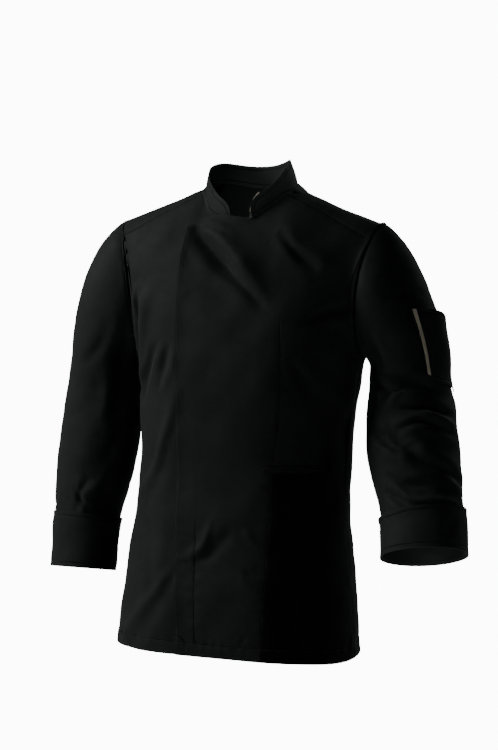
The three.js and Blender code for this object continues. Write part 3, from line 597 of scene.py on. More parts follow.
def arm_map(points, line, side):
    """Places on a sleeve: mm down the arm and degrees round it."""
    path = np.array(line, float)
    legs = np.diff(path, axis=0)
    lengths = np.linalg.norm(legs, axis=1)
    starts = np.concatenate([[0], np.cumsum(lengths)])
    apart = np.full(len(points), 1e9)
    down = np.zeros(len(points))
    turn = np.zeros(len(points))
    for k, leg in enumerate(legs):
        way = leg / lengths[k]
        t = (points - path[k]) @ way / lengths[k]
        t = np.clip(t, -9 if k == 0 else 0, 9 if k == len(legs) - 1 else 1)
        foot = path[k] + t[:, None] * leg
        gap = np.linalg.norm(points - foot, axis=1)
        out = np.array([side, 0, 0]) - way * (side * way[0])
        out /= np.linalg.norm(out)
        ahead = np.array([0, -1.0, 0])
        ahead = ahead - way * (ahead @ way) - out * (ahead @ out)
        ahead /= np.linalg.norm(ahead)
        off = points - foot
        angle = np.degrees(np.arctan2(off @ ahead, off @ out))
        closer = gap < apart
        apart[closer] = gap[closer]
        down[closer] = (starts[k] + t * lengths[k])[closer]
        turn[closer] = angle[closer]
    return down, turn


def arm_fold_height(down, turn, folds, share, seed):
    """Height in mm of a sleeve's folds, which may run over the back of the arm."""
    scale = math.radians(1) * ARM_RADIUS
    rows = [(tuple((s, a * scale) for s, a in line), w, d, lean) for line, w, d, lean in folds]
    height = np.zeros(len(down))
    for row_number, row in enumerate(rows):
        middle = row[0][len(row[0]) // 2][1] / scale
        round_arm = (turn - middle + 180) % 360 - 180 + middle
        height += fold_height(np.stack([down, round_arm * scale], 1), [row], share, seed + row_number)
    return height


def smooth_step(values, start, end):
    """0 before start, 1 after end, and soft between them."""
    t = np.clip((values - start) / (end - start), 0, 1)
    return t * t * (3 - 2 * t)


def keep_boundaries(obj):
    """Remembers the cloth's outer surface and its edges for the sewing."""
    BOUNDARIES[obj.name] = edge_loops(obj)
    verts = [v.co.copy() for v in obj.data.vertices]
    PIECES[obj.name] = BVHTree.FromPolygons(verts, [tuple(p.vertices) for p in obj.data.polygons])


def edge_places(obj):
    """The places of all the mesh's open edges, in mm."""
    return np.concatenate([rows[:, 0] for rows, _ in edge_loops(obj)])


def finish_cloth(obj, node_name, wall, material):
    """Gives the cloth its thickness and material, smooths its shading and sets it on its body."""
    keep_boundaries(obj)
    finish_modifier(obj, "SOLIDIFY", thickness=wall, offset=-1.0, use_even_offset=False, use_rim=True)
    only(obj)
    bpy.ops.object.shade_smooth_by_angle(angle=math.radians(50))
    obj.data.materials.append(material)
    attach(obj, "root")
    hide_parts(node_name)


# ------------------------------------------------------------------ materials


def new_material(name):
    """An empty node material with its output, its shader and the tree."""
    material = bpy.data.materials.get(name)
    if material is not None:
        return material, None, None
    material = bpy.data.materials.new(name)
    material.use_nodes = True
    tree = material.node_tree
    tree.nodes.clear()
    output = tree.nodes.new("ShaderNodeOutputMaterial")
    shader = tree.nodes.new("ShaderNodeBsdfPrincipled")
    tree.links.new(shader.outputs["BSDF"], output.inputs["Surface"])
    return material, tree, shader


def node(tree, kind, settings=None, **inputs):
    """Adds a node, with its settings and either values or links for its named inputs."""
    made = tree.nodes.new(kind)
    for key, value in (settings or {}).items():
        setattr(made, key, value)
    for key, value in inputs.items():
        by_number = key[0] == "i" and key[1:].isdigit()
        socket = made.inputs[int(key[1:]) if by_number else key.replace("_", " ")]
        if isinstance(value, bpy.types.NodeSocket):
            tree.links.new(value, socket)
        else:
            socket.default_value = value
    return made


def map_range(tree, value, start, end, low, high, kind="LINEAR"):
    """Maps a value that goes from start to end onto low to high."""
    made = node(tree, "ShaderNodeMapRange", {"interpolation_type": kind}, Value=value)
    for socket, limit in (("From Min", start), ("From Max", end), ("To Min", low), ("To Max", high)):
        made.inputs[socket].default_value = limit
    return made.outputs["Result"]


def maths(tree, operation, *values, clamp=False):
    """The result of a sum on values or sockets."""
    inputs = {f"i{k}": value for k, value in enumerate(values)}
    return node(tree, "ShaderNodeMath", {"operation": operation, "use_clamp": clamp}, **inputs).outputs["Value"]


def mixed(tree, share, first, second):
    """A colour between two, which are sockets or colours."""
    return node(tree, "ShaderNodeMix", {"data_type": "RGBA"}, i0=share, i6=first, i7=second).outputs[2]


def noise(tree, place, scale, detail, roughness=0.5):
    """A noise of this scale."""
    made = node(tree, "ShaderNodeTexNoise", None, Vector=place, Scale=scale, Detail=detail, Roughness=roughness)
    return made.outputs["Fac"]


def bump(tree, height, strength, distance, **normal):
    """The normal of a surface with this height, over another normal where one is given."""
    made = node(tree, "ShaderNodeBump", None, Height=height, Strength=strength, Distance=distance, **normal)
    return made.outputs["Normal"]


def bands(tree, direction, place, **settings):
    """Even bands across a direction."""
    kind = {"wave_type": "BANDS", "bands_direction": direction}
    return node(tree, "ShaderNodeTexWave", kind, Vector=place, **settings).outputs["Fac"]


def attribute(tree, name):
    """A number that the mesh keeps for each point."""
    return node(tree, "ShaderNodeAttribute", {"attribute_name": name}).outputs["Fac"]


def set_shader(shader, **values):
    """Sets the shader's unlinked sockets."""
    for key, value in values.items():
        shader.inputs[key.replace("_", " ")].default_value = value


def twill_material():
    """Black twill: diagonal ribs, yarn, soft unevenness of tone, rubbed edges, the grooves of its hems and sewn lines
    with shade painted in them, and shade painted on the panel below the waist pocket, which is also rougher.
    """
    cloth = bpy.context.scene.jacket_cloth
    material, tree, shader = new_material("black_twill")
    if tree is None:
        return material
    flat = node(tree, "ShaderNodeUVMap", {"uv_map": "cloth"}).outputs["UV"]
    place = node(tree, "ShaderNodeTexCoord").outputs["Object"]
    wear = noise(tree, place, 60.0, 3.0, 0.65)
    spread = map_range(tree, noise(tree, place, 14.0, 4.0, 0.6), 0.35, 0.75, 0.0, 0.34)
    rubbed = map_range(tree, attribute(tree, "edge_mm"), 0.2, 2.6, 0.75, 0.0, "SMOOTHSTEP")
    share = maths(tree, "ADD", spread, maths(tree, "MULTIPLY", rubbed, wear), clamp=True)
    # Painted shade: the panel below the waist pocket is mixed to the near-black colour, and it is made rougher too.
    grain = attribute(tree, "painted_shade_panel")
    cross = (*cloth.cross, 1)
    panel = mixed(tree, grain, mixed(tree, share, (*cloth.black, 1), (*cloth.faded, 1)), cross)
    # Painted shade: within about 1.5 mm of each sewn line and lapped edge, the colour goes to the near-black one.
    nearest = NO_GROOVE
    for name in GROOVES:
        nearest = maths(tree, "MINIMUM", maths(tree, "ABSOLUTE", attribute(tree, name)), nearest)
    groove = map_range(tree, nearest, 0.2, 1.5, 0.0, 1.0, "SMOOTHSTEP")
    tree.links.new(mixed(tree, groove, cross, panel), shader.inputs["Base Color"])
    rough = map_range(tree, wear, 0.0, 1.0, 0.66, 0.82)
    tree.links.new(maths(tree, "MULTIPLY_ADD", grain, 0.3, rough, clamp=True), shader.inputs["Roughness"])
    set_shader(shader, Specular_IOR_Level=0.16, Sheen_Weight=0.06, Sheen_Roughness=0.45,
               Sheen_Tint=(0.75, 0.85, 0.82, 1))

    turned = node(tree, "ShaderNodeMapping", None, Vector=flat, Rotation=(0, 0, math.radians(TWILL_ANGLE)))
    ribs = bands(tree, "X", turned.outputs["Vector"], Scale=1.0 / (cloth.wale * 3.14), Distortion=0.6,
                 Detail=1.0, Detail_Scale=1.4)
    soft = bump(tree, noise(tree, place, 150.0, 3.0, 0.6), 0.3, 0.0007)
    sewn = bump(tree, groove, 0.8, 0.0007, Normal=soft)
    fibre = bump(tree, noise(tree, flat, 1500.0, 2.0), 0.3, 0.0001, Normal=sewn)
    tree.links.new(bump(tree, ribs, 0.4, 0.00018, Normal=fibre), shader.inputs["Normal"])
    return material


def tape_material(name, base, ribs_per_metre, roughness):
    """A woven tape or label: fine cross ribs, slight unevenness of colour and a soft sheen."""
    material, tree, shader = new_material(name)
    if tree is None:
        return material
    place = node(tree, "ShaderNodeTexCoord").outputs["Object"]
    shades = [tuple(min(1, c * k) for c in base) + (1,) for k in (0.78, 1.12)]
    tree.links.new(mixed(tree, noise(tree, place, 160.0, 4.0), *shades), shader.inputs["Base Color"])
    set_shader(shader, Roughness=roughness, Specular_IOR_Level=0.3, Sheen_Weight=0.2, Sheen_Roughness=0.5)
    ribs = bands(tree, "Z", place, Scale=ribs_per_metre / 3.14, Distortion=0.4)
    tree.links.new(bump(tree, ribs, 0.6, 0.0002), shader.inputs["Normal"])
    return material


def thread_material(name, base):
    """Sewing thread: twisted, a little glossier than the cloth."""
    material, tree, shader = new_material(name)
    if tree is None:
        return material
    place = node(tree, "ShaderNodeTexCoord").outputs["Object"]
    twist = bands(tree, "DIAGONAL", place, Scale=900.0, Distortion=1.0)
    shades = [tuple(c * k for c in base) + (1,) for k in (0.6, 1.3)]
    tree.links.new(mixed(tree, twist, *shades), shader.inputs["Base Color"])
    set_shader(shader, Roughness=0.42)
    tree.links.new(bump(tree, twist, 0.5, 0.0001), shader.inputs["Normal"])
    return material


# ------------------------------------------------------------------ pieces of cloth


def from_torso_axis(point):
    """The way out of the torso at a point."""
    return Vector((point.x, point.y, 0)).normalized()


def from_arm_line(line):
    """A function that gives the way out of an arm at a point."""
    path = [Vector(p) * MM for p in line]

    def away(point):
        height = max(path[-1].z, min(path[0].z, point.z))
        k = max(i for i in range(len(path) - 1) if path[i].z >= height - 1e-9 or i == 0)
        share = (path[k].z - height) / (path[k].z - path[k + 1].z)
        centre = path[k].lerp(path[k + 1], max(0, min(1, share)))
        return Vector((point.x - centre.x, point.y - centre.y, 0)).normalized()

    return away


def painted_shade_panel(seen):
    """1 on the panel below the waist pocket, on which shade is painted, and 0 elsewhere."""
    beside, _, _ = line_places(seen, SECOND_LINE, 6.0)
    right_of_line = smooth_step(beside, -0.5, 2.5)
    below = smooth_step(-seen[:, 1], WAIST_POCKET["z"], WAIST_POCKET["z"] + 3)
    fading = smooth_step(-seen[:, 1], WAIST_POCKET["z"] - 60, WAIST_POCKET["z"] + 20)
    past_pocket = smooth_step(seen[:, 0], WAIST_POCKET["end_x"] - 12, WAIST_POCKET["end_x"] + 6)
    return right_of_line * (below * (1 - past_pocket) + fading * past_pocket)


def torso_cloth(node_name, folds, seed):
    """One panel of the torso with its creases, crumple, hem and sewn lines."""
    cloth = bpy.context.scene.jacket_cloth
    obj = outer_side(node_name, from_torso_axis)
    divide(obj, cloth.detail)
    is_front = node_name.startswith("front")

    def is_lapped(p):
        return p[2] > HEM_SEAM_Z and (not is_front or abs(p[0]) > FRONT_HALF or p[2] > TOP_SEAM_Z)

    lap_seams(obj, 1.0, is_lapped)
    points, normals = points_of(obj)
    seen = points[:, [0, 2]]
    edge = edge_places(obj)
    at_hem = edge[:, 2] < points[:, 2].min() + HEM_REACH
    hem = edge_distance(points, edge[at_hem])
    is_seam = ~at_hem
    if is_front:
        is_seam &= (np.abs(edge[:, 0]) > FRONT_HALF) | (edge[:, 2] > TOP_SEAM_Z)
    seam = edge_distance(points, edge[is_seam])
    whole = edge_distance(points, edge)
    height = fold_height(seen, folds, cloth.fold_depth, seed) * smooth_step(seam, 1, 13)
    height += crumple_height(points, cloth.crumple / MM, seed=77 if is_front else 55) * smooth_step(seam, 0, 16)
    at_armhole = is_seam & (np.abs(edge[:, 0]) > ARMHOLE_X) & (edge[:, 2] > ARMHOLE_Z)
    height -= 1.2 * bell(seam, 3.2) * smooth_step(edge_distance(points, edge[at_armhole]), 2, 10)
    hem_line = cloth.hem / MM
    round_torso = np.degrees(np.arctan2(points[:, 0], -points[:, 1])) * 2.6
    ripple = np.sin(round_torso * 2 * math.pi / 17 + 2.1 * np.sin(round_torso / 23))
    height += 0.7 * (1 - smooth_step(hem, hem_line - 2, hem_line + 1.5))
    height += 0.45 * ripple * bell(hem - hem_line, 7)
    height -= 0.5 * bell(hem - hem_line, 2.2)
    # These distances give each sewn line its groove and a thin line of painted shade.
    grooves = {"hem_mm": hem - hem_line}
    if is_front:
        for name, line, deep, high, pitch, number in (
            ("placket_mm", PLACKET_LINE, 0.5, 0.7, 21, 3), ("panel_mm", SECOND_LINE, 0.7, 0.9, 16, 4),
            ("yoke_mm", YOKE_LINES[node_name], 1.2, 0.4, 19, 5),
        ):
            height += seam_pucker(seen, line, deep, high, pitch, number)
            grooves[name] = beside_line(seen, line)
        if node_name == "front_left":
            closing = edge_distance(points, edge[~is_seam & ~at_hem])
            height += CLOSING_LIFT * bell(closing, CLOSING_SPREAD)
        else:
            closing = np.concatenate([rows[:, 0] for rows, _ in BOUNDARIES["front_left_cloth"]])
            across, up = closing[:, 0], closing[:, 2]
            closing = closing[(np.abs(across) < FRONT_HALF) & (up < THROAT_Z) & (up > CLOSING_FOOT_Z)]
            line = closing[np.argsort(-closing[:, 2])][::6, [0, 2]]
            height -= CLOSING_GROOVE * bell(edge_distance(points, closing), 3.0)
            # Painted shade: a dark line beside the left front's closing edge, made wider by the narrowing.
            grooves["closing_mm"] = beside_line(seen, [tuple(p) for p in line]) * CLOSING_NARROWING
        for x, z in SNAPS:
            height += SNAP_HEIGHT * bell(np.hypot(seen[:, 0] - x, seen[:, 1] - z), SNAP_RADIUS)
    move_points(obj, points + normals * height[:, None])
    set_cloth_map(obj, torso_map(points))
    set_values(obj, "edge_mm", whole)
    set_grooves(obj, grooves)
    # Painted shade on the left front's panel below the waist pocket; the other pieces get none.
    set_values(obj, "painted_shade_panel", painted_shade_panel(seen) if node_name == "front_left" else np.zeros(len(points)))
    finish_cloth(obj, node_name, cloth.wall, twill_material())


def sleeve_cloth(node_name, line, side, folds, seed, detail):
    """A sleeve or a turned-back cuff with its creases and crumple."""
    cloth = bpy.context.scene.jacket_cloth
    obj = outer_side(node_name, from_arm_line(line))
    divide(obj, detail)
    is_cuff = node_name.startswith("cuff")
    if not is_cuff:
        lap_seams(obj, 3.0, lambda p: p[2] > SLEEVE_HEAD_Z)
    points, normals = points_of(obj)
    down, turn = arm_map(points, line, side)
    whole = edge_distance(points, edge_places(obj))
    height = arm_fold_height(down, turn, folds, cloth.fold_depth, seed) * smooth_step(whole, 2, 24)
    height += crumple_height(points, cloth.crumple / MM, seed) * smooth_step(whole, 0, 14)
    if is_cuff:
        height -= 0.3 * bell(whole - CUFF_HEM, 2.0)
    else:
        height -= bell(whole, 3.5) * (down < 120)
    move_points(obj, points + normals * height[:, None])
    scale = math.radians(1) * ARM_RADIUS
    set_cloth_map(obj, np.stack([turn * scale, -down], 1))
    set_values(obj, "edge_mm", whole)
    set_grooves(obj, {"hem_mm": whole - CUFF_HEM} if is_cuff else {})
    finish_cloth(obj, node_name, cloth.wall, twill_material())


def seat_collar(obj):
    """Sets the collar's lower edge on the torso's neck edge, which it laps over by a little, and by more at
    the right front, where the collar's end is wide."""
    rows = np.concatenate([rows for name in TORSO for rows, _ in BOUNDARIES[name]])
    out = rows[:, 0, :2] + (0, 8)
    radius = np.linalg.norm(out, axis=1)
    falls_away = (rows[:, 2, :2] * out).sum(1) / radius - rows[:, 2, 2] > NECK_FALL
    rows = rows[(rows[:, 0, 2] > NECK_LOW_Z) & (radius < NECK_RADIUS) & falls_away]
    tree = search_tree(rows[:, 0])
    points, _ = points_of(obj)
    for edge, index in edge_loops(obj):
        for (place, _, inward), k in zip(edge, index):
            _, near, gap = tree.find(place)
            at_left_end = place[0] > 0 and place[1] < -20
            least_rise = 0.12 if gap > NECK_CLOSE else -0.1
            if inward[2] < least_rise or gap > (NECK_GAP_LEFT if at_left_end else NECK_GAP):
                continue
            neck, _, way = rows[near]
            at_end = max(0.0, 1 - abs(place[0] + 46) / 30) if place[1] < -30 else 0.0
            lapped = Vector(neck + way * (COLLAR_LAP + COLLAR_END_LAP * at_end))
            seat, up = nearest_on(TORSO, lapped * MM)
            points[k] = np.array(seat) / MM + np.array(up) * COLLAR_STAND
            off_corner = math.dist((abs(points[k][0]), points[k][1]), COLLAR_CORNER) / COLLAR_CORNER_SPREAD
            points[k][2] -= COLLAR_CORNER_LAP * math.exp(-(off_corner ** 2))
    points[:, 2] -= COLLAR_TIP_DROP * bell(np.linalg.norm(points - COLLAR_TIP, axis=1), COLLAR_TIP_SPREAD)
    move_points(obj, points)


def keep_between(obj, low_x, high_x):
    """Cuts off the ends of a piece outside these two places across the front, in mm."""
    for place, way in ((low_x, -1), (high_x, 1)):
        edit_whole(obj, bpy.ops.mesh.bisect, plane_co=(place * MM, 0, 0), plane_no=(way, 0, 0), clear_outer=True)


def narrow(obj, share):
    """Makes a straight strip narrower about its middle line."""
    points, _ = points_of(obj)
    centre = points.mean(0)
    across = np.linalg.svd(points - centre, full_matrices=False)[2][1]
    move_points(obj, points - np.outer((points - centre) @ across, across) * (1 - share))


def nearest_on(pieces, place):
    """The nearest place on these pieces' outer sides, in metres, and the way out of the cloth there."""
    found = [PIECES[piece].find_nearest(place) for piece in pieces]
    best = min((f for f in found if f[0] is not None), key=lambda f: f[3])
    return best[0], best[1]


def small_cloth(node_name, away, detail, wall, material, crumple, seed, grooved=6.0):
    """A small flat piece, such as the collar, a pocket, a tape or a label."""
    obj = outer_side(node_name, away)
    divide(obj, detail)
    if node_name == "collar":
        seat_collar(obj)
    if node_name == "waist_pocket_welt":
        keep_between(obj, SECOND_LINE[2][0] - 14, WAIST_POCKET["end_x"])
    if node_name == "pen_pocket_tape":
        narrow(obj, TAPE_SHARE)
    points, normals = points_of(obj)
    whole = edge_distance(points, edge_places(obj))
    height = crumple_height(points, crumple, seed) * smooth_step(whole, 0, 8)
    height -= 0.25 * bell(whole - grooved, 1.6) if grooved else 0
    move_points(obj, points + normals * height[:, None])
    set_cloth_map(obj, np.stack([np.arctan2(points[:, 0], -points[:, 1]) * SMALL_RADIUS, points[:, 2]], 1))
    set_values(obj, "edge_mm", whole)
    set_grooves(obj, {"hem_mm": whole - grooved} if grooved else {})
    finish_cloth(obj, node_name, wall, material)


class JACKET_OT_fronts(Operator):
    """Make the two fronts with their creases, placket, press studs' marks and hems"""

    bl_idname = "jacket.fronts"
    bl_label = "Fronts"

    def execute(self, context):
        torso_cloth("front_left", FRONT_FOLDS, 101)
        torso_cloth("front_right", FRONT_FOLDS, 101)
        return {"FINISHED"}


class JACKET_OT_backs(Operator):
    """Make the three panels of the back"""

    bl_idname = "jacket.backs"
    bl_label = "Back panels"

    def execute(self, context):
        for name in ("back_left", "back_centre", "back_right"):
            torso_cloth(name, BACK_FOLDS, 202)
        return {"FINISHED"}


class JACKET_OT_sleeves(Operator):
    """Make the two sleeves with the folds of the elbow and the gathers above the cuff"""

    bl_idname = "jacket.sleeves"
    bl_label = "Sleeves"

    def execute(self, context):
        detail = context.scene.jacket_cloth.detail
        sleeve_cloth("sleeve_left", LEFT_ARM_LINE, 1, LEFT_SLEEVE_FOLDS, 303, detail)
        sleeve_cloth("sleeve_right", RIGHT_ARM_LINE, -1, RIGHT_SLEEVE_FOLDS, 404, detail)
        return {"FINISHED"}


class JACKET_OT_cuffs(Operator):
    """Make the two turned-back cuffs"""

    bl_idname = "jacket.cuffs"
    bl_label = "Turned-back cuffs"

    def execute(self, context):
        detail = context.scene.jacket_cloth.detail + 1
        sleeve_cloth("cuff_left", LEFT_ARM_LINE, 1, CUFF_FOLDS, 505, detail)
        sleeve_cloth("cuff_right", RIGHT_ARM_LINE, -1, CUFF_FOLDS + (RIGHT_CUFF_NOTCH,), 606, detail)
        return {"FINISHED"}


class JACKET_OT_collar(Operator):
    """Make the stand collar, the piping inside its end and the blank neck label"""

    bl_idname = "jacket.collar"
    bl_label = "Collar, piping and label"

    def execute(self, context):
        cloth = context.scene.jacket_cloth
        sewing = context.scene.jacket_sewing

        def out(point):
            return Vector((point.x, point.y + 0.008, 0)).normalized()

        def inward(point):
            return -out(point)

        small_cloth("collar", out, 3, cloth.collar_wall, twill_material(), 0.5, 707)
        tape = tape_material("pale_tape", tuple(sewing.tape), 1400, 0.7)
        label = tape_material("blank_label", tuple(sewing.label), 2200, 0.62)
        small_cloth("collar_piping", inward, 3, TAPE_WALL, tape, 0.1, 808, 0.0)
        small_cloth("neck_label", inward, 3, TAPE_WALL, label, 0.3, 909, 0.0)
        return {"FINISHED"}


class JACKET_OT_pen_pocket(Operator):
    """Make the pocket on the left upper sleeve and the pale tape down its front edge"""

    bl_idname = "jacket.pen_pocket"
    bl_label = "Sleeve pocket"

    def execute(self, context):
        cloth = context.scene.jacket_cloth
        sewing = context.scene.jacket_sewing
        away = from_arm_line(LEFT_ARM_LINE)
        small_cloth("pen_pocket", away, 4, cloth.wall, twill_material(), 0.5, 111)
        tape = tape_material("pale_tape", tuple(sewing.tape), 1400, 0.7)
        small_cloth("pen_pocket_tape", away, 3, TAPE_WALL, tape, 0.1, 222, 0.0)
        return {"FINISHED"}


class JACKET_OT_waist_pocket(Operator):
    """Make the welt of the pocket at the left of the waist"""

    bl_idname = "jacket.waist_pocket"
    bl_label = "Waist pocket"

    def execute(self, context):
        small_cloth("waist_pocket_welt", from_torso_axis, 4, WELT_WALL, twill_material(), 0.2, 333, 2.0)
        return {"FINISHED"}


# ------------------------------------------------------------------ sewing


def inset_line(piece, inset, chosen, lift):
    """Lines that run inset mm inside the piece's open edges, where chosen(x, y, z) holds, lifted off it."""
    lines = []
    for rows, _ in BOUNDARIES[piece]:
        flags = [chosen(*rows[k, 0]) for k in range(len(rows))]
        start = next((k for k in range(len(rows)) if flags[k] and not flags[k - 1]), 0)
        line = []
        for step in range(len(rows) + 1):
            k = (start + step) % len(rows)
            if flags[k] and step < len(rows):
                spot = Vector(rows[k, 0] + rows[k, 2] * inset) * MM
                hit, normal, _, gap = PIECES[piece].find_nearest(spot)
                if hit is not None and gap < 0.012:
                    line.append((hit + normal * lift, normal))
                    continue
            if len(line) > 3:
                lines.append(line)
            line = []
        if all(flags) and lines:
            lines[-1].append(lines[-1][0])
    return lines


def everywhere(x, y, z):
    """Chooses every point of an edge."""
    return True


def at_foot(x, y, z):
    """Chooses the points of the hem."""
    return z < HEM_EDGE_Z


def at_shoulder(x, y, z):
    """Chooses the points of the shoulder's seam."""
    return 78 < abs(x) < 188 and z > -60


def at_closing(x, y, z):
    """Chooses the points of the closing edge."""
    return abs(x) < 98 and CLOSING_FOOT_Z < z < THROAT_Z


def cast_line(pieces, line, lift):
    """A line given in (x, z) mm, laid on the fronts from straight ahead."""
    out = []
    for x, z in smooth_line(line, 4.0):
        best = None
        for piece in pieces:
            hit, normal, _, gap = PIECES[piece].ray_cast(Vector((x * MM, -0.5, z * MM)), Vector((0, 1, 0)))
            if hit is not None and (best is None or gap < best[2]):
                best = (hit + normal * lift, normal, gap)
        if best is not None:
            out.append((best[0], best[1]))
    return [out] if len(out) > 3 else []


def add_stitches(lines, length, gap, thick, verts, faces):
    """Adds one small rounded stitch after another along each line."""
    ring = STITCH_CORNERS
    for line in lines:
        spots = np.array([tuple(p) for p, _ in line])
        ups = np.array([tuple(n) for _, n in line])
        run = np.concatenate([[0], np.cumsum(np.linalg.norm(np.diff(spots, axis=0), axis=1))])
        at = gap
        while at + length < run[-1]:
            ends = []
            for place in (at, at + length / 2, at + length):
                ends.append((
                    np.array([np.interp(place, run, spots[:, k]) for k in range(3)]),
                    np.array([np.interp(place, run, ups[:, k]) for k in range(3)]),
                ))
            way = ends[2][0] - ends[0][0]
            size = np.linalg.norm(way)
            at += length + gap
            if size < length * 0.4:
                continue
            way /= size
            first = len(verts)
            for number, (spot, up) in enumerate(ends):
                up = up - way * (up @ way)
                up /= np.linalg.norm(up) + 1e-9
                side = np.cross(way, up)
                radius = thick / 2 * (1.0 if number == 1 else STITCH_END)
                sink = 0.0 if number == 1 else -thick * STITCH_SINK
                for k in range(ring):
                    a = 2 * math.pi * k / ring
                    verts.append(tuple(spot + up * (radius * math.cos(a) + sink) + side * (radius * math.sin(a))))
            for number in range(2):
                for k in range(ring):
                    a, b = first + number * ring + k, first + number * ring + (k + 1) % ring
                    faces.append((a, b, b + ring, a + ring))
            faces.append(tuple(first + k for k in reversed(range(ring))))
            faces.append(tuple(first + 2 * ring + k for k in range(ring)))


def sew(name, lines):
    """One object that holds the stitches along these lines."""
    sewing = bpy.context.scene.jacket_sewing
    verts, faces = [], []
    add_stitches(lines, sewing.stitch, sewing.gap, sewing.thread, verts, faces)
    if not faces:
        raise RuntimeError(f"{name} has no stitches")
    mesh = bpy.data.meshes.new(name)
    mesh.from_pydata(verts, [], faces)
    obj = add_object(name, mesh)
    edit_whole(obj, bpy.ops.mesh.normals_make_consistent, inside=False)
    bpy.ops.object.shade_smooth()
    obj.data.materials.append(thread_material("black_thread", tuple(sewing.thread_black)))
    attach(obj, "root")


class JACKET_OT_stitching(Operator):
    """Sew the hem, the closing edge, the placket, the seams, the cuffs and the pockets"""

    bl_idname = "jacket.stitching"
    bl_label = "Stitching"

    def execute(self, context):
        sewing = context.scene.jacket_sewing
        hem = context.scene.jacket_cloth.hem / MM
        edge = sewing.edge / MM
        lift = sewing.thread * STITCH_LIFT
        # Each object of stitches: its lines that run inside an edge (piece, how far in, where), and the cast ones
        for name, seams, cast in (
            ("torso_stitches", (
                ("front_left", hem, at_foot), ("back_left", hem, at_foot), ("front_left", edge, at_shoulder),
                ("front_right", hem, at_foot), ("back_right", hem, at_foot), ("front_right", edge, at_shoulder),
                ("back_centre", hem, at_foot), ("front_left", edge, at_closing),
            ), (PLACKET_LINE, SECOND_LINE)),
            ("sleeve_stitches", (
                ("cuff_left", CUFF_HEM, everywhere), ("cuff_right", CUFF_HEM, everywhere),
                ("pen_pocket", 3.0, everywhere), ("pen_pocket", 8.0, everywhere),
            ), ()),
            ("trim_stitches", (
                ("collar", 5.0, everywhere), ("waist_pocket_welt", 1.5, everywhere),
                ("neck_label", 2.0, everywhere),
            ), ()),
        ):
            lines = []
            for piece, inset, chosen in seams:
                lines += inset_line(piece + "_cloth", inset, chosen, lift)
            for line in cast:
                lines += cast_line(TORSO[:2], line, lift)
            sew(name, lines)
        return {"FINISHED"}


# ------------------------------------------------------------------ studio


def add_light(name, kind, place, target, power, **settings):
    """A light at a place in metres, turned to a target."""
    light = bpy.data.lights.new(name, kind)
    light.energy = power
    for key, value in settings.items():
        setattr(light, key, value)
    obj = add_object(name, light)
    obj.location = place
    obj.rotation_euler = (target - place).to_track_quat("-Z", "Y").to_euler()


def area_light(name, place, target, size, power, tint=(1.0, 1.0, 1.0)):
    """A large square light."""
    add_light(name, "AREA", place, target, power, shape="SQUARE", size=size, color=tint)


def spot_light(name, place, target, degrees, power):
    """A small soft light that reaches only what is round its target."""
    add_light(name, "SPOT", place, target, power, spot_size=math.radians(degrees), spot_blend=0.8,
              shadow_soft_size=0.05)


def view_axes():
    """The photograph's way of looking, its right and its up."""
    turn, rise = math.radians(VIEW_AZIMUTH), math.radians(VIEW_ELEVATION)
    ahead = Vector((-math.sin(turn) * math.cos(rise), math.cos(turn) * math.cos(rise), -math.sin(rise)))
    right = Vector((math.cos(turn), math.sin(turn), 0))
    return ahead, right, right.cross(ahead)


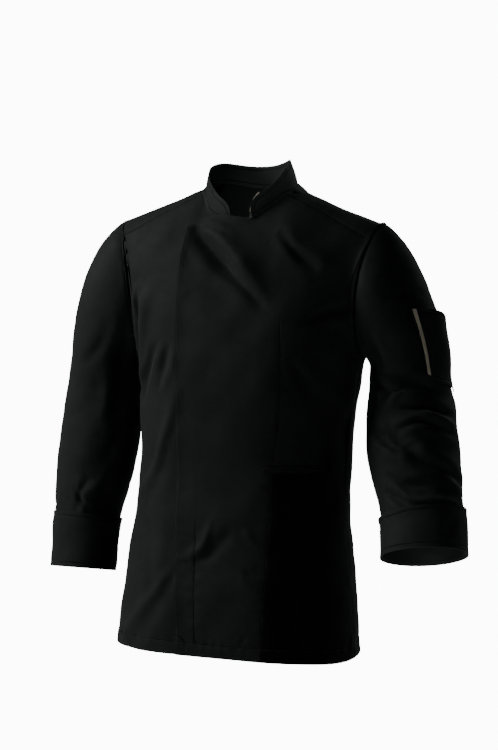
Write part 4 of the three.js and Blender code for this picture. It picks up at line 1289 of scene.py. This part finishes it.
class JACKET_OT_stage(Operator):
    """Set up the pale floor, the white room, the lights and the camera"""

    bl_idname = "jacket.stage"
    bl_label = "Studio"

    def execute(self, context):
        stage = context.scene.jacket_stage
        bpy.ops.object.select_all(action="DESELECT")
        bpy.ops.mesh.primitive_plane_add(size=60, location=(0, 0, stage.floor))
        floor = context.object
        floor.name = "studio_floor"
        material, tree, shader = new_material("pale_floor")
        place = node(tree, "ShaderNodeTexCoord").outputs["Object"]
        grain = noise(tree, place, 3.0, 2.0)
        tone = mixed(tree, grain, (0.90, 0.90, 0.90, 1), (0.94, 0.94, 0.94, 1))
        tree.links.new(tone, shader.inputs["Base Color"])
        set_shader(shader, Roughness=0.9)
        self.show_white(tree, shader.outputs["BSDF"], "ShaderNodeEmission", stage.backdrop)
        floor.data.materials.append(material)

        ahead, right, up = view_axes()
        target = Vector(VIEW_TARGET) * MM
        eye = target - ahead * VIEW_DISTANCE * MM - right * AIM_TO_IMAGE_LEFT * MM
        lens = bpy.data.cameras.new("camera")
        lens.sensor_width = SENSOR_MM
        lens.lens = SENSOR_MM * VIEW_FOCAL_PX / PICTURE_HEIGHT_PX
        lens.clip_end = 200
        camera = add_object("camera", lens)
        camera.matrix_world = Matrix((
            (right.x, up.x, -ahead.x, eye.x),
            (right.y, up.y, -ahead.y, eye.y),
            (right.z, up.z, -ahead.z, eye.z),
            (0, 0, 0, 1),
        ))
        context.scene.camera = camera

        key_place = target - ahead * 0.25 - right * 2.05 + up * 1.1
        area_light("key_light", key_place, target + up * 0.1, 0.9, stage.key)
        neck = Vector(NECK_BACK) * MM
        spot_light("neck_light", neck - ahead * 1.5 - right * 0.25 + up * 0.55, neck, 7.5, stage.neck)
        cuff = Vector(CUFF_MOUTH) * MM
        spot_light("cuff_light", cuff - ahead * 0.7 - right * 0.2 - up * 0.55, cuff, 9.0, stage.bounce)
        bounce_place = target - ahead * 0.5 + right * 0.9 - up * 1.1
        area_light("bounce_light", bounce_place, target + right * 0.25 - up * 0.2, 0.9, stage.bounce * BOUNCE_SHARE)
        rim_place = target + ahead * 1.1 + right * 1.5 + up * 0.9
        area_light("rim_light", rim_place, target, 1.2, stage.rim, (0.95, 1.0, 1.0))

        world = bpy.data.worlds.new("white_room")
        context.scene.world = world
        world.use_nodes = True
        room = world.node_tree
        room.nodes.clear()
        room.nodes.new("ShaderNodeOutputWorld")
        lit = node(room, "ShaderNodeBackground", None, Color=(1, 1, 1, 1), Strength=stage.sky)
        self.show_white(room, lit.outputs[0], "ShaderNodeBackground", stage.backdrop)
        return {"FINISHED"}

    def show_white(self, tree, lighting, kind, strength):
        """Shows the camera plain white of this strength, while the object is lit by the other shader."""
        output = next(n for n in tree.nodes if n.type in {"OUTPUT_WORLD", "OUTPUT_MATERIAL"})
        seen = node(tree, kind, None, Color=(1, 1, 1, 1), Strength=strength)
        ray = node(tree, "ShaderNodeLightPath")
        mix = node(tree, "ShaderNodeMixShader", None, i0=ray.outputs["Is Camera Ray"], i1=lighting, i2=seen.outputs[0])
        tree.links.new(mix.outputs[0], output.inputs["Surface"])


# ------------------------------------------------------------------ add-on


OPERATORS = (
    JACKET_OT_fronts, JACKET_OT_backs, JACKET_OT_sleeves, JACKET_OT_cuffs, JACKET_OT_collar,
    JACKET_OT_pen_pocket, JACKET_OT_waist_pocket, JACKET_OT_stitching, JACKET_OT_stage,
)
GROUPS = (
    ("jacket_cloth", JacketCloth), ("jacket_sewing", JacketSewing), ("jacket_stage", JacketStage),
)


class JACKET_PT_panel(Panel):
    """Panel of the chef jacket in the 3D view's sidebar."""

    bl_idname = "JACKET_PT_panel"
    bl_label = "Chef Jacket"
    bl_space_type = "VIEW_3D"
    bl_region_type = "UI"
    bl_category = "Chef Jacket"

    def draw(self, context):
        layout = self.layout
        for operator in OPERATORS:
            layout.operator(operator.bl_idname)
        for name, group in GROUPS:
            box = layout.box()
            box.label(text=group.__doc__)
            for key in group.__annotations__:
                box.prop(getattr(context.scene, name), key)


def register():
    for name, group in GROUPS:
        bpy.utils.register_class(group)
        setattr(bpy.types.Scene, name, PointerProperty(type=group))
    for operator in OPERATORS:
        bpy.utils.register_class(operator)
    bpy.utils.register_class(JACKET_PT_panel)


def unregister():
    bpy.utils.unregister_class(JACKET_PT_panel)
    for operator in reversed(OPERATORS):
        bpy.utils.unregister_class(operator)
    for name, group in reversed(GROUPS):
        delattr(bpy.types.Scene, name)
        bpy.utils.unregister_class(group)


def main():
    register()
    bpy.ops.jacket.fronts()
    bpy.ops.jacket.backs()
    bpy.ops.jacket.sleeves()
    bpy.ops.jacket.cuffs()
    bpy.ops.jacket.collar()
    bpy.ops.jacket.pen_pocket()
    bpy.ops.jacket.waist_pocket()
    bpy.ops.jacket.stitching()
    bpy.ops.jacket.stage()


if __name__ == "__main__":
    main()
